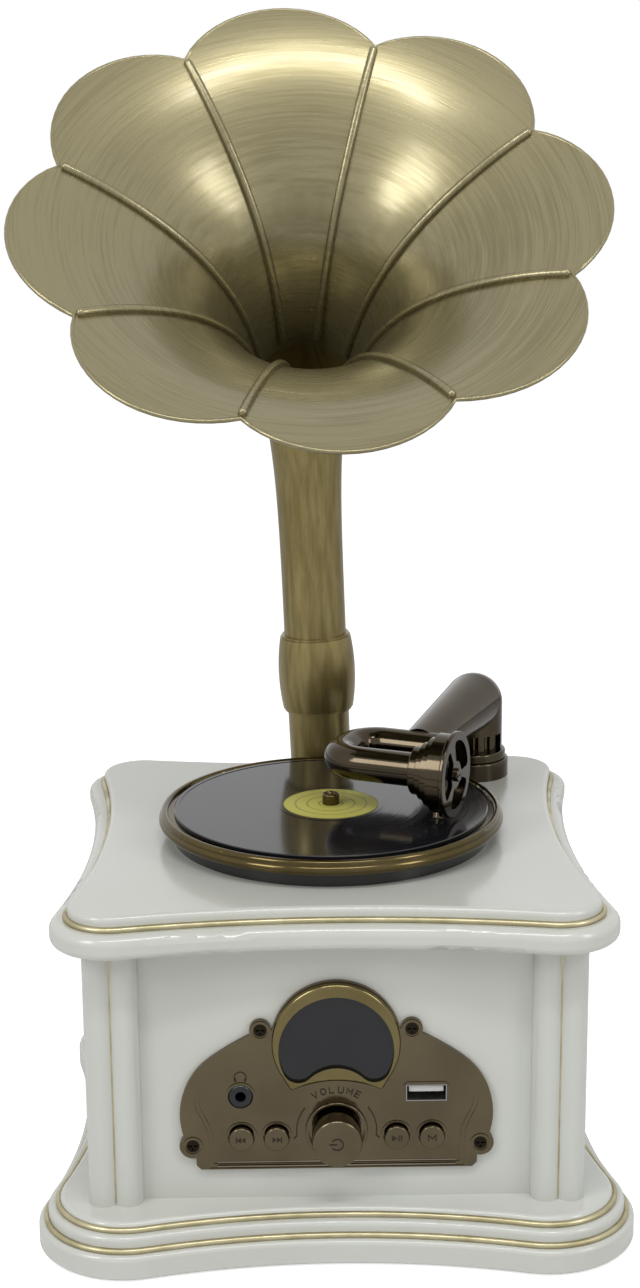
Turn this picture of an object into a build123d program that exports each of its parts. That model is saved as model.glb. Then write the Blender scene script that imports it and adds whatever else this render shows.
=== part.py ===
from build123d import *
from math import atan2, cos, degrees, exp, log, radians, sin, sqrt, tan
import os

os.makedirs("parts", exist_ok=True)

# Gramophone speaker: lacquered box with a control panel, turntable, tonearm and an eight-petal horn.
# Millimetres. The origin is under the middle foot, +Z is up and the control panel faces -Y.

# Clearances
seat_gap = 0.05
press_gap = 0.02
running_gap = 0.05
free_gap = 0.3

# Feet
foot_proud = 0.8
foot_radius = 7.0
foot_sink = 1.2
foot_offset = 80.0

# Plinth: a lobed slab with two lobed steps on it
plinth_lobe_centre = 67.9
plinth_lobe_radius = 29.9
plinth_sagitta = 8.7
plinth_slab_height = 8.0
plinth_tier_height = 5.2
plinth_step_height = 2.9
plinth_tier_inset = 3.2
plinth_step_inset = 7.1
plinth_edge_fillet = 1.7
plinth_foot_chamfer = 0.6
plinth_opening = 118.0

# Gold beads that lie in the inner corners of the steps
bead_radius = 1.0
bead_rise = 0.7
bead_out = 0.5

# Top board: a lobed slab with one step
board_lobe_centre = 70.5
board_lobe_radius = 20.0
board_sagitta = 6.9
board_slab_height = 7.9
board_step_height = 4.8
board_step_inset = 5.8
board_top_fillet = 3.2
board_under_fillet = 2.5
board_step_fillet = 1.8

# Pillars of four lobes, with a flat gold stripe in each outer valley
pillar_centre = 71.5
pillar_height = 88.4
pillar_lobe_radius = 4.9
pillar_lobe_offset = 3.9
stripe_width = 2.0
stripe_thickness = 1.2
stripe_depth = 6.0
stripe_foot_gap = 1.0

# Panels slide into slots in the pillars
panel_thickness = 2.5
panel_out = 3.0
panel_tongue = 5.5

# Base cover, its screws and the long screws that clamp plinth, pillars and top board
cover_lap = 7.0
cover_thickness = 2.4
cover_corner = 4.0
cover_screw_radius = 1.25
cover_screw_head = 2.6
cover_screw_length = 7.0
rod_radius = 1.75
rod_head_radius = 3.5
rod_head_height = 3.0
rod_head_recess = 2.6
rod_bite = 6.5

# Control panel plate. Heights on the front are counted from the top of the plinth
plate_thickness = 1.7
plate_bottom = 10.9
plate_corner_half = 45.3
plate_waist_half = 50.3
plate_waist_height = 31.9
plate_shoulder_half = 46.2
plate_shoulder_height = 43.7
dome_height = 54.6
dome_radius = 21.0
low_screw_half = 46.4
low_screw_height = 19.2
low_boss_radius = 4.3
high_screw_half = 24.2
high_screw_height = 59.1
high_boss_radius = 3.5
field_bottom = 12.7
field_bottom_half = 39.8
field_waist_half = 44.2
field_waist_height = 35.0
field_depth = 0.6
field_step = 1.4
field_step_depth = 0.3
panel_screw_radius = 1.3
panel_screw_head = 2.1
panel_screw_head_height = 0.9
panel_screw_length = 6.0
screw_cross_length = 2.9
screw_cross_width = 0.6
screw_cross_depth = 0.6
screw_ring_radius = 3.2
screw_ring_width = 0.6
screw_ring_height = 0.4

# Display
bezel_radius = 20.6
bezel_height = 2.2
bezel_round = 1.3
bezel_sweep = 240.0
bezel_flank = 6.5
bezel_arch_height = 42.0
lens_radius = 18.4
lens_height = 52.5
lens_notch_radius = 12.4
lens_notch_height = 34.4
lens_lobe_radius = 5.0
lens_thickness = 0.8
display_window_inset = 1.6
display_width = 26.0
display_tall = 14.0
display_height = 56.0

# Volume knob and its encoder
knob_height = 23.9
knob_radius = 8.0
knob_reach = 9.6
knob_edge = 0.9
knob_push = 0.8
collar_radius = 10.0
collar_bore = 9.2
collar_proud = 0.6
collar_floor = 0.8
encoder_size = 12.0
encoder_shaft_radius = 2.5
encoder_rotor_radius = 3.6
encoder_floor = 0.9

# Push buttons
button_height = 22.0
button_places = {"previous": -30.7, "next": -19.35, "play": 19.35, "mode": 30.7}
button_radius = 4.0
button_gap = 0.4
button_flange_radius = 4.9
button_flange = 1.0
button_proud = 2.0
button_travel = 0.8
button_edge = 0.5
button_ring_width = 0.7
button_ring_height = 0.4
button_stem_radius = 1.5
switch_size = 6.2
switch_height = 3.4
switch_well = 1.7

# Sockets on the front
jack_half = 30.8
jack_height = 36.2
jack_ring_radius = 4.0
jack_bore_radius = 1.75
jack_bore_length = 13.9
jack_proud = 0.5
jack_body_width = 10.0
jack_body_tall = 9.0
jack_body_back = 1.0
usb_half = 28.9
usb_height = 36.8
usb_width = 13.1
usb_tall = 5.6
usb_wall = 0.3
usb_depth = 14.0
usb_proud = 0.4
usb_frame_border = 0.9
usb_frame_height = 0.3
usb_tongue_width = 11.1
usb_tongue_thickness = 1.84
usb_tongue_rise = 0.9
usb_tongue_recess = 1.2

# Control board behind the front panel
board_post_length = 6.0
board_post_radius = 2.5
board_post_half = 33.0
board_post_low = 15.0
board_post_high = 66.0
circuit_width = 72.0
circuit_bottom = 11.5
circuit_tall = 58.0
circuit_thickness = 1.6

# Turntable
platter_y = -5.0
base_disc_radius = 54.5
base_disc_height = 4.7
bush_radius = 6.0
spindle_radius = 3.0
platter_lift = 0.4
platter_floor = 3.6
platter_radius = 59.3
platter_band_height = 3.0
platter_bead_inset = 2.1
platter_bead_radius = 1.25
record_radius = 54.0
record_thickness = 1.5
record_groove_depth = 0.15
record_groove_margin = 1.6
label_radius = 16.4
label_thickness = 0.15
cap_radius = 2.95
cap_height = 3.7
cap_nub_radius = 1.1
motor_radius = 12.0
motor_height = 14.0
gearbox_radius = 15.0
gearbox_height = 8.0
gearbox_floor = 1.2

# Tonearm. Its frame turns with the arm: x to the right along the sound box, y to the back along the arm
arm_column_x = 54.7
arm_column_y = 62.6
arm_bearing = 23.5
arm_axis_height = 25.9
arm_base_radius = 13.2
arm_base_height = 6.7
arm_step_radius = 12.1
arm_step_height = 3.3
arm_column_radius = 9.2
arm_column_height = 6.6
flute_count = 12
flute_radius = 1.25
arm_root_radius = 10.8
arm_root_rise = 1.8
arm_tip_radius = 6.9
arm_length = 58.6
pivot_radius = 4.0
pivot_head_radius = 7.0
pivot_head_height = 3.0

# Gooseneck and sound box
neck_radius = 5.8
leg_spacing = 25.4
leg_left = 22.5
leg_corner = 10.0
back_leg_right = 8.5
box_face_x = 22.5
plate_radius = 14.7
plate_disc = 1.6
drum_steps = [(13.5, 4.9), (11.8, 2.5), (9.8, 2.5)]
drum_recess_radius = 11.9
drum_recess_depth = 3.0
neck_ring_radius = 8.25
neck_ring_width = 3.0
neck_entry = 3.4
window_inner = 4.6
window_outer = 11.7
window_sweep = 96.0
window_turns = (50, -70, 170)
diaphragm_thickness = 0.6
hub_radius = 2.3
hub_height = 1.2
holder_angle = 28.0
holder_radius = 1.6
holder_length = 2.2
needle_radius = 0.5
needle_clear = 0.3

# Horn
horn_x = -2.35
horn_y = 67.0
horn_lean = 2.03
horn_height = 141.2
horn_wall = 1.2
horn_bend_radius = 28.0
horn_elevation = 47.1
horn_azimuth = 2.6
mouth_distance = 91.9
socket_radius = 9.0
socket_bore = 7.0
socket_length = 11.0
socket_flange_height = 0.9
plug_bore = 4.8
plug_length = 12.0
tube_foot_radius = 11.25
tube_floor = 3.0
tube_top_radius = 11.5
collar_start = 24.8
collar_length = 29.0
horn_collar_end = 12.5
horn_collar_waist = 13.1
horn_collar_belly = 14.3
horn_collar_lip = 0.9
neck_flare_power = 4.1
bell_asymptote = 11.5
bell_spread = 75.5
bell_decay = 30.0
bell_curl = 2.6
bell_curl_start = 70.0
bell_curl_scale = 30.0
petal_count = 8
petal_cusp_radius = 87.0
petal_tip_radius = 99.5
petal_turn = 5.3
rib_radius = 1.5
rib_rise = 0.5
rib_end = 85.0
rib_start_inset = 0.7
bell_ring_width = 3.0
bell_ring_lip = 1.5
petal_cut_reach = 30.0

# Loudspeaker behind the rear panel
speaker_height = 44.0
speaker_radius = 30.0
speaker_flange = 2.0
speaker_depth = 16.0
speaker_cone_radius = 26.0
speaker_magnet_radius = 15.0
speaker_magnet_height = 9.0
grille_radius = 23.5
grille_rings = 4
grille_hole_radius = 1.3

# Power inlet and main circuit board
inlet_half = 50.0
inlet_height = 14.0
inlet_radius = 5.5
inlet_bore_radius = 3.1
inlet_pin_radius = 1.0
inlet_depth = 11.0
inlet_flange_radius = 6.6
inlet_flange = 1.2
main_board_width = 74.0
main_board_depth = 52.0
main_board_rise = 6.0
main_board_y = 20.0
main_post_radius = 3.0

# Levels worked out from the heights above
plinth_bottom = foot_proud
plinth_slab_top = plinth_bottom + plinth_slab_height
plinth_tier_top = plinth_slab_top + plinth_tier_height
plinth_top = plinth_tier_top + plinth_step_height
board_bottom = plinth_top + pillar_height
board_slab_top = board_bottom + board_slab_height
board_top = board_slab_top + board_step_height
cover_top = plinth_bottom + cover_thickness

# Planes of the panels, counted outwards from the middle
panel_face = pillar_centre + panel_out
panel_inner = panel_face - panel_thickness
panel_half = pillar_centre - panel_tongue
plate_face = panel_face + plate_thickness
circuit_face = panel_inner - board_post_length

plinth_lobes = (plinth_lobe_centre, plinth_lobe_radius, plinth_sagitta)
board_lobes = (board_lobe_centre, board_lobe_radius, board_sagitta)


def lobed_line(lobes, inset):
    # Four corner lobes joined by hollow sides, one tangent arc after another
    centre, radius, sagitta = lobes
    waist = centre + radius - sagitta
    hollow = (centre**2 + (waist - centre) ** 2 - radius**2) / (2 * (radius - waist + centre))
    far = waist + hollow
    lean = degrees(atan2(centre, far - centre))
    for turn in (0, 90, 180, 270):
        side = Vector(far, 0).rotate(Axis.Z, turn)
        lobe = Vector(centre, centre).rotate(Axis.Z, turn)
        CenterArc((side.X, side.Y), hollow + inset, 180 + lean + turn, -2 * lean)
        CenterArc((lobe.X, lobe.Y), radius - inset, turn - lean, 90 + 2 * lean)


def lobed_face(lobes, inset):
    with BuildLine() as outline:
        lobed_line(lobes, inset)
    make_face(outline.edges())


def sweep_bead(lobes, inset, level, radius, mode=Mode.ADD):
    # A round bead that runs along a lobed outline, one arc after another
    with BuildLine(Plane.XY.offset(level)) as run:
        lobed_line(lobes, inset)
    for arc in run.line.edges():
        with BuildSketch(Plane(origin=arc @ 0, z_dir=arc % 0)) as section:
            Circle(radius)
        sweep(section.sketch, path=arc, mode=mode)


def front_plane(distance):
    # Faces the viewer: x to the right, y up from the top of the plinth
    return Plane(origin=(0, -distance, plinth_top), x_dir=(1, 0, 0), z_dir=(0, -1, 0))


def rear_plane(distance):
    return Plane(origin=(0, distance, plinth_top), x_dir=(-1, 0, 0), z_dir=(0, 1, 0))


bead_insets = [plinth_tier_inset - bead_out, plinth_step_inset - bead_out]
bead_levels = [plinth_slab_top + bead_rise, plinth_tier_top + bead_rise]
corner_places = [Location((x * pillar_centre, y * pillar_centre)) for x in (-1, 1) for y in (-1, 1)]
foot_places = [Location((x * foot_offset, y * foot_offset)) for x in (-1, 1) for y in (-1, 1)]
cover_size = plinth_opening + 2 * cover_lap
cover_screw_offset = (plinth_opening + cover_lap) / 2
cover_screw_places = [(x * cover_screw_offset, y * cover_screw_offset) for x in (-1, 1) for y in (-1, 1)]

# Plinth
with BuildPart() as plinth:
    with BuildSketch(Plane.XY.offset(plinth_bottom)):
        lobed_face(plinth_lobes, 0)
    extrude(amount=plinth_slab_height)
    fillet(plinth.edges().group_by(Axis.Z)[-1], plinth_edge_fillet)
    chamfer(plinth.edges().group_by(Axis.Z)[0], plinth_foot_chamfer)
    with BuildSketch(Plane.XY.offset(plinth_slab_top)):
        lobed_face(plinth_lobes, plinth_tier_inset)
    extrude(amount=plinth_tier_height)
    fillet(plinth.edges().group_by(Axis.Z)[-1], plinth_edge_fillet)
    with BuildSketch(Plane.XY.offset(plinth_tier_top)):
        lobed_face(plinth_lobes, plinth_step_inset)
    extrude(amount=plinth_step_height)
    fillet(plinth.edges().group_by(Axis.Z)[-1], plinth_edge_fillet)
    for inset, level in zip(bead_insets, bead_levels):
        sweep_bead(plinth_lobes, inset, level, bead_radius + seat_gap, Mode.SUBTRACT)
    with BuildSketch(Plane.XY.offset(plinth_bottom)):
        Rectangle(plinth_opening, plinth_opening)
    extrude(amount=plinth_top - plinth_bottom, mode=Mode.SUBTRACT)
    with BuildSketch(Plane.XY.offset(plinth_bottom)):
        RectangleRounded(cover_size + 2 * seat_gap, cover_size + 2 * seat_gap, cover_corner)
    extrude(amount=cover_thickness, mode=Mode.SUBTRACT)
    with BuildSketch(Plane.XY.offset(plinth_bottom)):
        with Locations(foot_places):
            Circle(foot_radius + seat_gap)
    extrude(amount=foot_sink, mode=Mode.SUBTRACT)
    with BuildSketch(Plane.XY.offset(plinth_bottom)):
        with Locations(corner_places):
            Circle(rod_head_radius + free_gap)
    extrude(amount=rod_head_recess + rod_head_height, mode=Mode.SUBTRACT)
    with BuildSketch(Plane.XY.offset(plinth_bottom)):
        with Locations(corner_places):
            Circle(rod_radius + seat_gap)
    extrude(amount=plinth_top - plinth_bottom, mode=Mode.SUBTRACT)
    with BuildSketch(Plane.XY.offset(plinth_bottom)):
        with Locations(cover_screw_places):
            Circle(cover_screw_radius)
    extrude(amount=cover_screw_length, mode=Mode.SUBTRACT)
plinth.part.label = "plinth"
export_step(plinth.part, "parts/plinth.step")

with BuildPart() as plinth_beads:
    for inset, level in zip(bead_insets, bead_levels):
        sweep_bead(plinth_lobes, inset, level, bead_radius)
plinth_beads.part.label = "plinth_beads"
export_step(plinth_beads.part, "parts/plinth_beads.step")

# Base cover in its rebate, with posts for the main board
main_post_places = [
    (x * (main_board_width / 2 - main_post_radius), main_board_y + y * (main_board_depth / 2 - main_post_radius))
    for x in (-1, 1)
    for y in (-1, 1)
]
with BuildPart() as base_cover:
    with BuildSketch(Plane.XY.offset(plinth_bottom)):
        RectangleRounded(cover_size, cover_size, cover_corner)
    extrude(amount=cover_thickness)
    with BuildSketch(Plane.XY.offset(cover_top)):
        with Locations(main_post_places):
            Circle(main_post_radius)
    extrude(amount=main_board_rise)
    with BuildSketch(Plane.XY.offset(plinth_bottom)):
        Circle(foot_radius + seat_gap)
    extrude(amount=foot_sink, mode=Mode.SUBTRACT)
    with BuildSketch(Plane.XY.offset(plinth_bottom)):
        with Locations(cover_screw_places):
            Circle(cover_screw_radius + seat_gap)
    extrude(amount=cover_thickness, mode=Mode.SUBTRACT)
    with BuildSketch(Plane.XY.offset(plinth_bottom)):
        with Locations(cover_screw_places):
            Circle(cover_screw_head + seat_gap)
    extrude(amount=cover_thickness / 2, mode=Mode.SUBTRACT)
base_cover.part.label = "base_cover"
export_step(base_cover.part, "parts/base_cover.step")

with BuildPart() as base_screws:
    with BuildSketch(Plane.XY.offset(plinth_bottom)):
        with Locations(cover_screw_places):
            Circle(cover_screw_head)
    extrude(amount=cover_thickness / 2)
    with BuildSketch(Plane.XY.offset(plinth_bottom)):
        with Locations(cover_screw_places):
            Circle(cover_screw_radius - press_gap)
    extrude(amount=cover_screw_length - press_gap)
base_screws.part.label = "base_screws"
export_step(base_screws.part, "parts/base_screws.step")

# Rubber feet: four at the corners and one under the middle of the cover
with BuildPart() as feet:
    with BuildSketch():
        with Locations((0, 0)):
            Circle(foot_radius)
        with Locations(foot_places):
            Circle(foot_radius)
    extrude(amount=foot_proud + foot_sink)
feet.part.label = "feet"
export_step(feet.part, "parts/feet.step")

with BuildPart() as tie_rods:
    with BuildSketch(Plane.XY.offset(plinth_bottom + rod_head_recess)):
        with Locations(corner_places):
            Circle(rod_head_radius)
    extrude(amount=rod_head_height)
    with BuildSketch(Plane.XY.offset(plinth_bottom + rod_head_recess)):
        with Locations(corner_places):
            Circle(rod_radius)
    extrude(amount=board_bottom + rod_bite - plinth_bottom - rod_head_recess)
tie_rods.part.label = "tie_rods"
export_step(tie_rods.part, "parts/tie_rods.step")


# Pillars: the front left one is drawn, and each next corner is a quarter turn on
def corner_plane(turn, level):
    centre = Vector(-pillar_centre, -pillar_centre).rotate(Axis.Z, turn)
    return Plane(origin=centre + Vector(0, 0, level), x_dir=Vector(1, 0, 0).rotate(Axis.Z, turn), z_dir=(0, 0, 1))


def stripe_places(clearance):
    # The two outer valleys of a pillar, seen from its centre
    middle = stripe_depth + stripe_thickness / 2
    with Locations((0, -middle)):
        Rectangle(stripe_width + 2 * clearance, stripe_thickness)
    with Locations((-middle, 0)):
        Rectangle(stripe_thickness, stripe_width + 2 * clearance)


valley_reach = pillar_lobe_offset + pillar_lobe_radius
panel_middle = panel_out - panel_thickness / 2
slot_length = valley_reach - panel_tongue + seat_gap
slot_middle = panel_tongue - seat_gap + slot_length / 2
with BuildPart() as pillars:
    for turn in (0, 90, 180, 270):
        with BuildSketch(corner_plane(turn, plinth_top)):
            Rectangle(2 * pillar_lobe_offset, 2 * pillar_lobe_offset)
            with GridLocations(2 * pillar_lobe_offset, 2 * pillar_lobe_offset, 2, 2):
                Circle(pillar_lobe_radius)
            with Locations((slot_middle, -panel_middle)):
                Rectangle(slot_length, panel_thickness + 2 * seat_gap, mode=Mode.SUBTRACT)
            with Locations((-panel_middle, slot_middle)):
                Rectangle(panel_thickness + 2 * seat_gap, slot_length, mode=Mode.SUBTRACT)
            Circle(rod_radius + seat_gap, mode=Mode.SUBTRACT)
        extrude(amount=pillar_height)
        with BuildSketch(corner_plane(turn, plinth_top + stripe_foot_gap)):
            stripe_places(seat_gap)
        extrude(amount=pillar_height, mode=Mode.SUBTRACT)
pillars.part.label = "pillars"
export_step(pillars.part, "parts/pillars.step")

with BuildPart() as pillar_stripes:
    for turn in (0, 90, 180, 270):
        with BuildSketch(corner_plane(turn, plinth_top + stripe_foot_gap)):
            stripe_places(0)
        extrude(amount=pillar_height - stripe_foot_gap)
pillar_stripes.part.label = "pillar_stripes"
export_step(pillar_stripes.part, "parts/pillar_stripes.step")

# Front panel with its openings, and the posts that carry the control board
screw_places = [
    (x * half, height)
    for x in (-1, 1)
    for half, height in ((low_screw_half, low_screw_height), (high_screw_half, high_screw_height))
]
button_marks = [(place, button_height) for place in button_places.values()]
board_posts = [(x * board_post_half, y) for x in (-1, 1) for y in (board_post_low, board_post_high)]
with BuildPart() as front_panel:
    with BuildSketch(front_plane(panel_inner)):
        Rectangle(2 * panel_half, pillar_height, align=(Align.CENTER, Align.MIN))
        with Locations((0, display_height)):
            Rectangle(display_width + 2 * free_gap, display_tall + 2 * free_gap, mode=Mode.SUBTRACT)
        with Locations((0, knob_height)):
            Circle(collar_radius + seat_gap, mode=Mode.SUBTRACT)
        with Locations(button_marks):
            Circle(button_flange_radius + button_gap, mode=Mode.SUBTRACT)
        with Locations((-jack_half, jack_height)):
            Circle(jack_ring_radius + seat_gap, mode=Mode.SUBTRACT)
        with Locations((usb_half, usb_height)):
            Rectangle(usb_width + 2 * seat_gap, usb_tall + 2 * seat_gap, mode=Mode.SUBTRACT)
        with Locations(screw_places):
            Circle(panel_screw_radius + seat_gap, mode=Mode.SUBTRACT)
    extrude(amount=panel_thickness)
    with BuildSketch(front_plane(panel_inner)):
        with Locations(board_posts):
            Circle(board_post_radius)
    extrude(amount=-board_post_length)
front_panel.part.label = "front_panel"
export_step(front_panel.part, "parts/front_panel.step")

with BuildPart() as side_panels:
    for side in (-1, 1):
        middle = side * (panel_face - panel_thickness / 2)
        with BuildSketch(Plane.XY.offset(plinth_top)):
            with Locations((middle, 0)):
                Rectangle(panel_thickness, 2 * panel_half)
        extrude(amount=pillar_height)
side_panels.part.label = "side_panels"
export_step(side_panels.part, "parts/side_panels.step")

with BuildPart() as rear_panel:
    with BuildSketch(rear_plane(panel_inner)):
        Rectangle(2 * panel_half, pillar_height, align=(Align.CENTER, Align.MIN))
        with Locations((0, speaker_height)):
            Circle(grille_hole_radius, mode=Mode.SUBTRACT)
            for ring in range(1, grille_rings):
                with PolarLocations(grille_radius * ring / (grille_rings - 1), 6 * ring):
                    Circle(grille_hole_radius, mode=Mode.SUBTRACT)
        with Locations((inlet_half, inlet_height)):
            Circle(inlet_radius + seat_gap, mode=Mode.SUBTRACT)
    extrude(amount=panel_thickness)
rear_panel.part.label = "rear_panel"
export_step(rear_panel.part, "parts/rear_panel.step")


# Horn frames: the foot leans a little, the bend turns it forward, and the bell looks up and out
def horn_plane(distance):
    # Across the leaning tube, at a distance from the top of the board
    return Plane(
        origin=horn_foot + horn_up * distance,
        x_dir=Vector(1, 0, 0).rotate(Axis.Y, -horn_lean),
        z_dir=horn_up,
    )


horn_foot = Vector(horn_x, horn_y, board_top)
horn_up = Vector(0, 0, 1).rotate(Axis.Y, -horn_lean)
horn_corner = horn_foot + horn_up * horn_height
bell_out = Vector(
    cos(radians(horn_elevation)) * sin(radians(horn_azimuth)),
    -cos(radians(horn_elevation)) * cos(radians(horn_azimuth)),
    sin(radians(horn_elevation)),
)
bell_right = Vector(cos(radians(horn_azimuth)), sin(radians(horn_azimuth)), 0)
bell_up = bell_out.cross(bell_right)
bend_turn = horn_up.get_angle(bell_out)
bend_tangent = horn_bend_radius * tan(radians(bend_turn / 2))
bend_axis = Axis((0, 0, 0), horn_up.cross(bell_out))
bend_start = horn_height - bend_tangent
bend_in = horn_up.cross(bell_out).cross(horn_up).normalized()
bend_centre = horn_corner - horn_up * bend_tangent + bend_in * horn_bend_radius
mouth = horn_corner + bell_out * mouth_distance
throat_depth = mouth_distance - bend_tangent
throat_radius = bell_asymptote + bell_spread * exp(-throat_depth / bell_decay)


def bend_plane(fraction):
    # Across the bend, from 0 where the tube ends to 1 where the bell begins
    spoke = (bend_in * -horn_bend_radius).rotate(bend_axis, fraction * bend_turn)
    return Plane(
        origin=bend_centre + spoke,
        x_dir=horn_up.cross(bell_out).normalized(),
        z_dir=horn_up.rotate(bend_axis, fraction * bend_turn),
    )


# Top board
with BuildPart() as top_board:
    with BuildSketch(Plane.XY.offset(board_bottom)):
        lobed_face(board_lobes, 0)
    extrude(amount=board_slab_height)
    fillet(top_board.edges().group_by(Axis.Z)[-1], board_top_fillet)
    fillet(top_board.edges().group_by(Axis.Z)[0], board_under_fillet)
    with BuildSketch(Plane.XY.offset(board_slab_top)):
        lobed_face(board_lobes, board_step_inset)
    extrude(amount=board_step_height)
    fillet(top_board.edges().group_by(Axis.Z)[-1], board_step_fillet)
    sweep_bead(
        board_lobes, board_step_inset - bead_out, board_slab_top + bead_rise, bead_radius + seat_gap, Mode.SUBTRACT
    )
    with BuildSketch(Plane.XY.offset(board_bottom)):
        with Locations((0, platter_y)):
            Circle(bush_radius + seat_gap)
        with Locations((arm_column_x, arm_column_y)):
            Circle(pivot_radius + running_gap)
    extrude(amount=board_top - board_bottom, mode=Mode.SUBTRACT)
    with BuildSketch(Plane.XY.offset(board_bottom)):
        with Locations(corner_places):
            Circle(rod_radius + press_gap)
    extrude(amount=rod_bite + press_gap, mode=Mode.SUBTRACT)
    with BuildSketch(horn_plane(0)):
        Circle(socket_radius + seat_gap)
    extrude(amount=socket_length, both=True, mode=Mode.SUBTRACT)
top_board.part.label = "top_board"
export_step(top_board.part, "parts/top_board.step")

with BuildPart() as board_bead:
    sweep_bead(board_lobes, board_step_inset - bead_out, board_slab_top + bead_rise, bead_radius)
board_bead.part.label = "board_bead"
export_step(board_bead.part, "parts/board_bead.step")


# Control panel plate
def plate_outline():
    with BuildLine() as outline:
        start = Line((0, plate_bottom), (plate_corner_half - 1.5, plate_bottom))
        corner = Line(start @ 1, (plate_corner_half, plate_bottom + 1.5))
        rise = Line(corner @ 1, (plate_corner_half, low_screw_height))
        waist = ThreePointArc(
            (low_screw_half + 1.5, low_screw_height),
            (plate_waist_half, plate_waist_height),
            (plate_shoulder_half, plate_shoulder_height),
        )
        Line(rise @ 1, waist @ 0)
        slope = Spline(
            waist @ 1,
            (high_screw_half + 13.0, high_screw_height - 7.2),
            (high_screw_half, high_screw_height),
            tangents=[waist % 1, (-1, 0.45)],
        )
        Line(slope @ 1, (0, high_screw_height))
        mirror(about=Plane.YZ)
    make_face(outline.edges())
    with Locations(screw_places[0::2]):
        Circle(low_boss_radius)
    with Locations(screw_places[1::2]):
        Circle(high_boss_radius)
    with Locations((0, dome_height)):
        Circle(dome_radius)


def field_outline(grow):
    # The sunk field between the rim and the display
    half = field_bottom_half + grow
    top_half = high_screw_half + 3.0
    top = high_screw_height - 3.8 + grow
    with BuildLine() as outline:
        base = Line((0, field_bottom - grow), (half, field_bottom - grow))
        side = Line(base @ 1, (half, low_screw_height))
        slope = Spline(
            side @ 1,
            (field_waist_half + grow, field_waist_height),
            (field_waist_half - 2.5 + grow, field_waist_height + 8.0),
            (top_half, top),
            tangents=[(0, 1), (-1, 0.5)],
        )
        Line(slope @ 1, (0, top))
        mirror(about=Plane.YZ)
    make_face(outline.edges())


def bezel_outline():
    # Most of a circle, two straight flanks drawn in below it and an arch between the tips
    tip_angle = (bezel_sweep - 180) / 2
    with BuildLine() as outline:
        crown = CenterArc((0, dome_height), bezel_radius, -tip_angle, bezel_sweep)
        right = Line(crown @ 0, crown @ 0 - (crown % 0) * bezel_flank)
        left = Line(crown @ 1, crown @ 1 + (crown % 1) * bezel_flank)
        ThreePointArc(right @ 1, (0, bezel_arch_height), left @ 1)
    make_face(outline.edges())


def lens_outline(grow):
    # A round window with a round notch in its lower edge
    with BuildSketch(mode=Mode.PRIVATE) as window:
        with Locations((0, lens_height)):
            Circle(lens_radius)
        with Locations((0, lens_notch_height)):
            Circle(lens_notch_radius, mode=Mode.SUBTRACT)
        fillet(window.vertices().group_by(Axis.Y)[0], lens_lobe_radius)
        if grow != 0:
            offset(amount=grow)
    add(window.sketch)


with BuildPart() as fascia:
    with BuildSketch(front_plane(panel_face)):
        plate_outline()
    extrude(amount=plate_thickness)
    with BuildSketch(front_plane(plate_face)):
        field_outline(field_step)
    extrude(amount=-field_step_depth, mode=Mode.SUBTRACT)
    with BuildSketch(front_plane(plate_face)):
        field_outline(0)
    extrude(amount=-field_depth, mode=Mode.SUBTRACT)
    with BuildSketch(front_plane(panel_face)):
        with Locations(screw_places[0::2]):
            Circle(low_boss_radius)
        with Locations(screw_places[1::2]):
            Circle(high_boss_radius)
        with Locations((0, dome_height)):
            Circle(dome_radius)
    extrude(amount=plate_thickness)
    with BuildSketch(front_plane(plate_face - field_depth)):
        with Locations(button_marks):
            Circle(button_radius + button_gap + button_ring_width)
        with Locations((-jack_half, jack_height)):
            Circle(jack_ring_radius + seat_gap + button_ring_width)
    extrude(amount=button_ring_height)
    with BuildSketch(front_plane(plate_face)):
        with Locations(screw_places):
            Circle(screw_ring_radius)
            Circle(screw_ring_radius - screw_ring_width, mode=Mode.SUBTRACT)
    extrude(amount=screw_ring_height)
    with BuildSketch(front_plane(plate_face - field_depth)) as usb_frame:
        with Locations((usb_half, usb_height)):
            Rectangle(usb_width + 2 * usb_frame_border, usb_tall + 2 * usb_frame_border)
        chamfer(usb_frame.vertices().group_by(Axis.Y)[-1], 1.2)
    extrude(amount=usb_frame_height)
    with BuildSketch(front_plane(panel_face)):
        with Locations((0, knob_height)):
            Circle(collar_radius + seat_gap)
        with Locations(button_marks):
            Circle(button_radius + button_gap)
        with Locations((-jack_half, jack_height)):
            Circle(jack_ring_radius + seat_gap)
        with Locations((usb_half, usb_height)):
            Rectangle(usb_width + 2 * seat_gap, usb_tall + 2 * seat_gap)
        with Locations(screw_places):
            Circle(panel_screw_radius + seat_gap)
        lens_outline(-display_window_inset)
    extrude(amount=plate_thickness + button_ring_height, mode=Mode.SUBTRACT)
    with BuildSketch(front_plane(plate_face - panel_screw_head_height)):
        with Locations(screw_places):
            Circle(panel_screw_head + seat_gap)
    extrude(amount=panel_screw_head_height, mode=Mode.SUBTRACT)
fascia.part.label = "fascia"
export_step(fascia.part, "parts/fascia.step")

with BuildPart() as fascia_screws:
    with BuildSketch(front_plane(plate_face - panel_screw_head_height)):
        with Locations(screw_places):
            Circle(panel_screw_head)
    extrude(amount=panel_screw_head_height)
    with BuildSketch(front_plane(plate_face - panel_screw_head_height)):
        with Locations(screw_places):
            Circle(panel_screw_radius)
    extrude(amount=-panel_screw_length)
    with BuildSketch(front_plane(plate_face)):
        with Locations(screw_places):
            Rectangle(screw_cross_width, screw_cross_length)
            Rectangle(screw_cross_length, screw_cross_width)
    extrude(amount=-screw_cross_depth, mode=Mode.SUBTRACT)
fascia_screws.part.label = "fascia_screws"
export_step(fascia_screws.part, "parts/fascia_screws.step")

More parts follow.
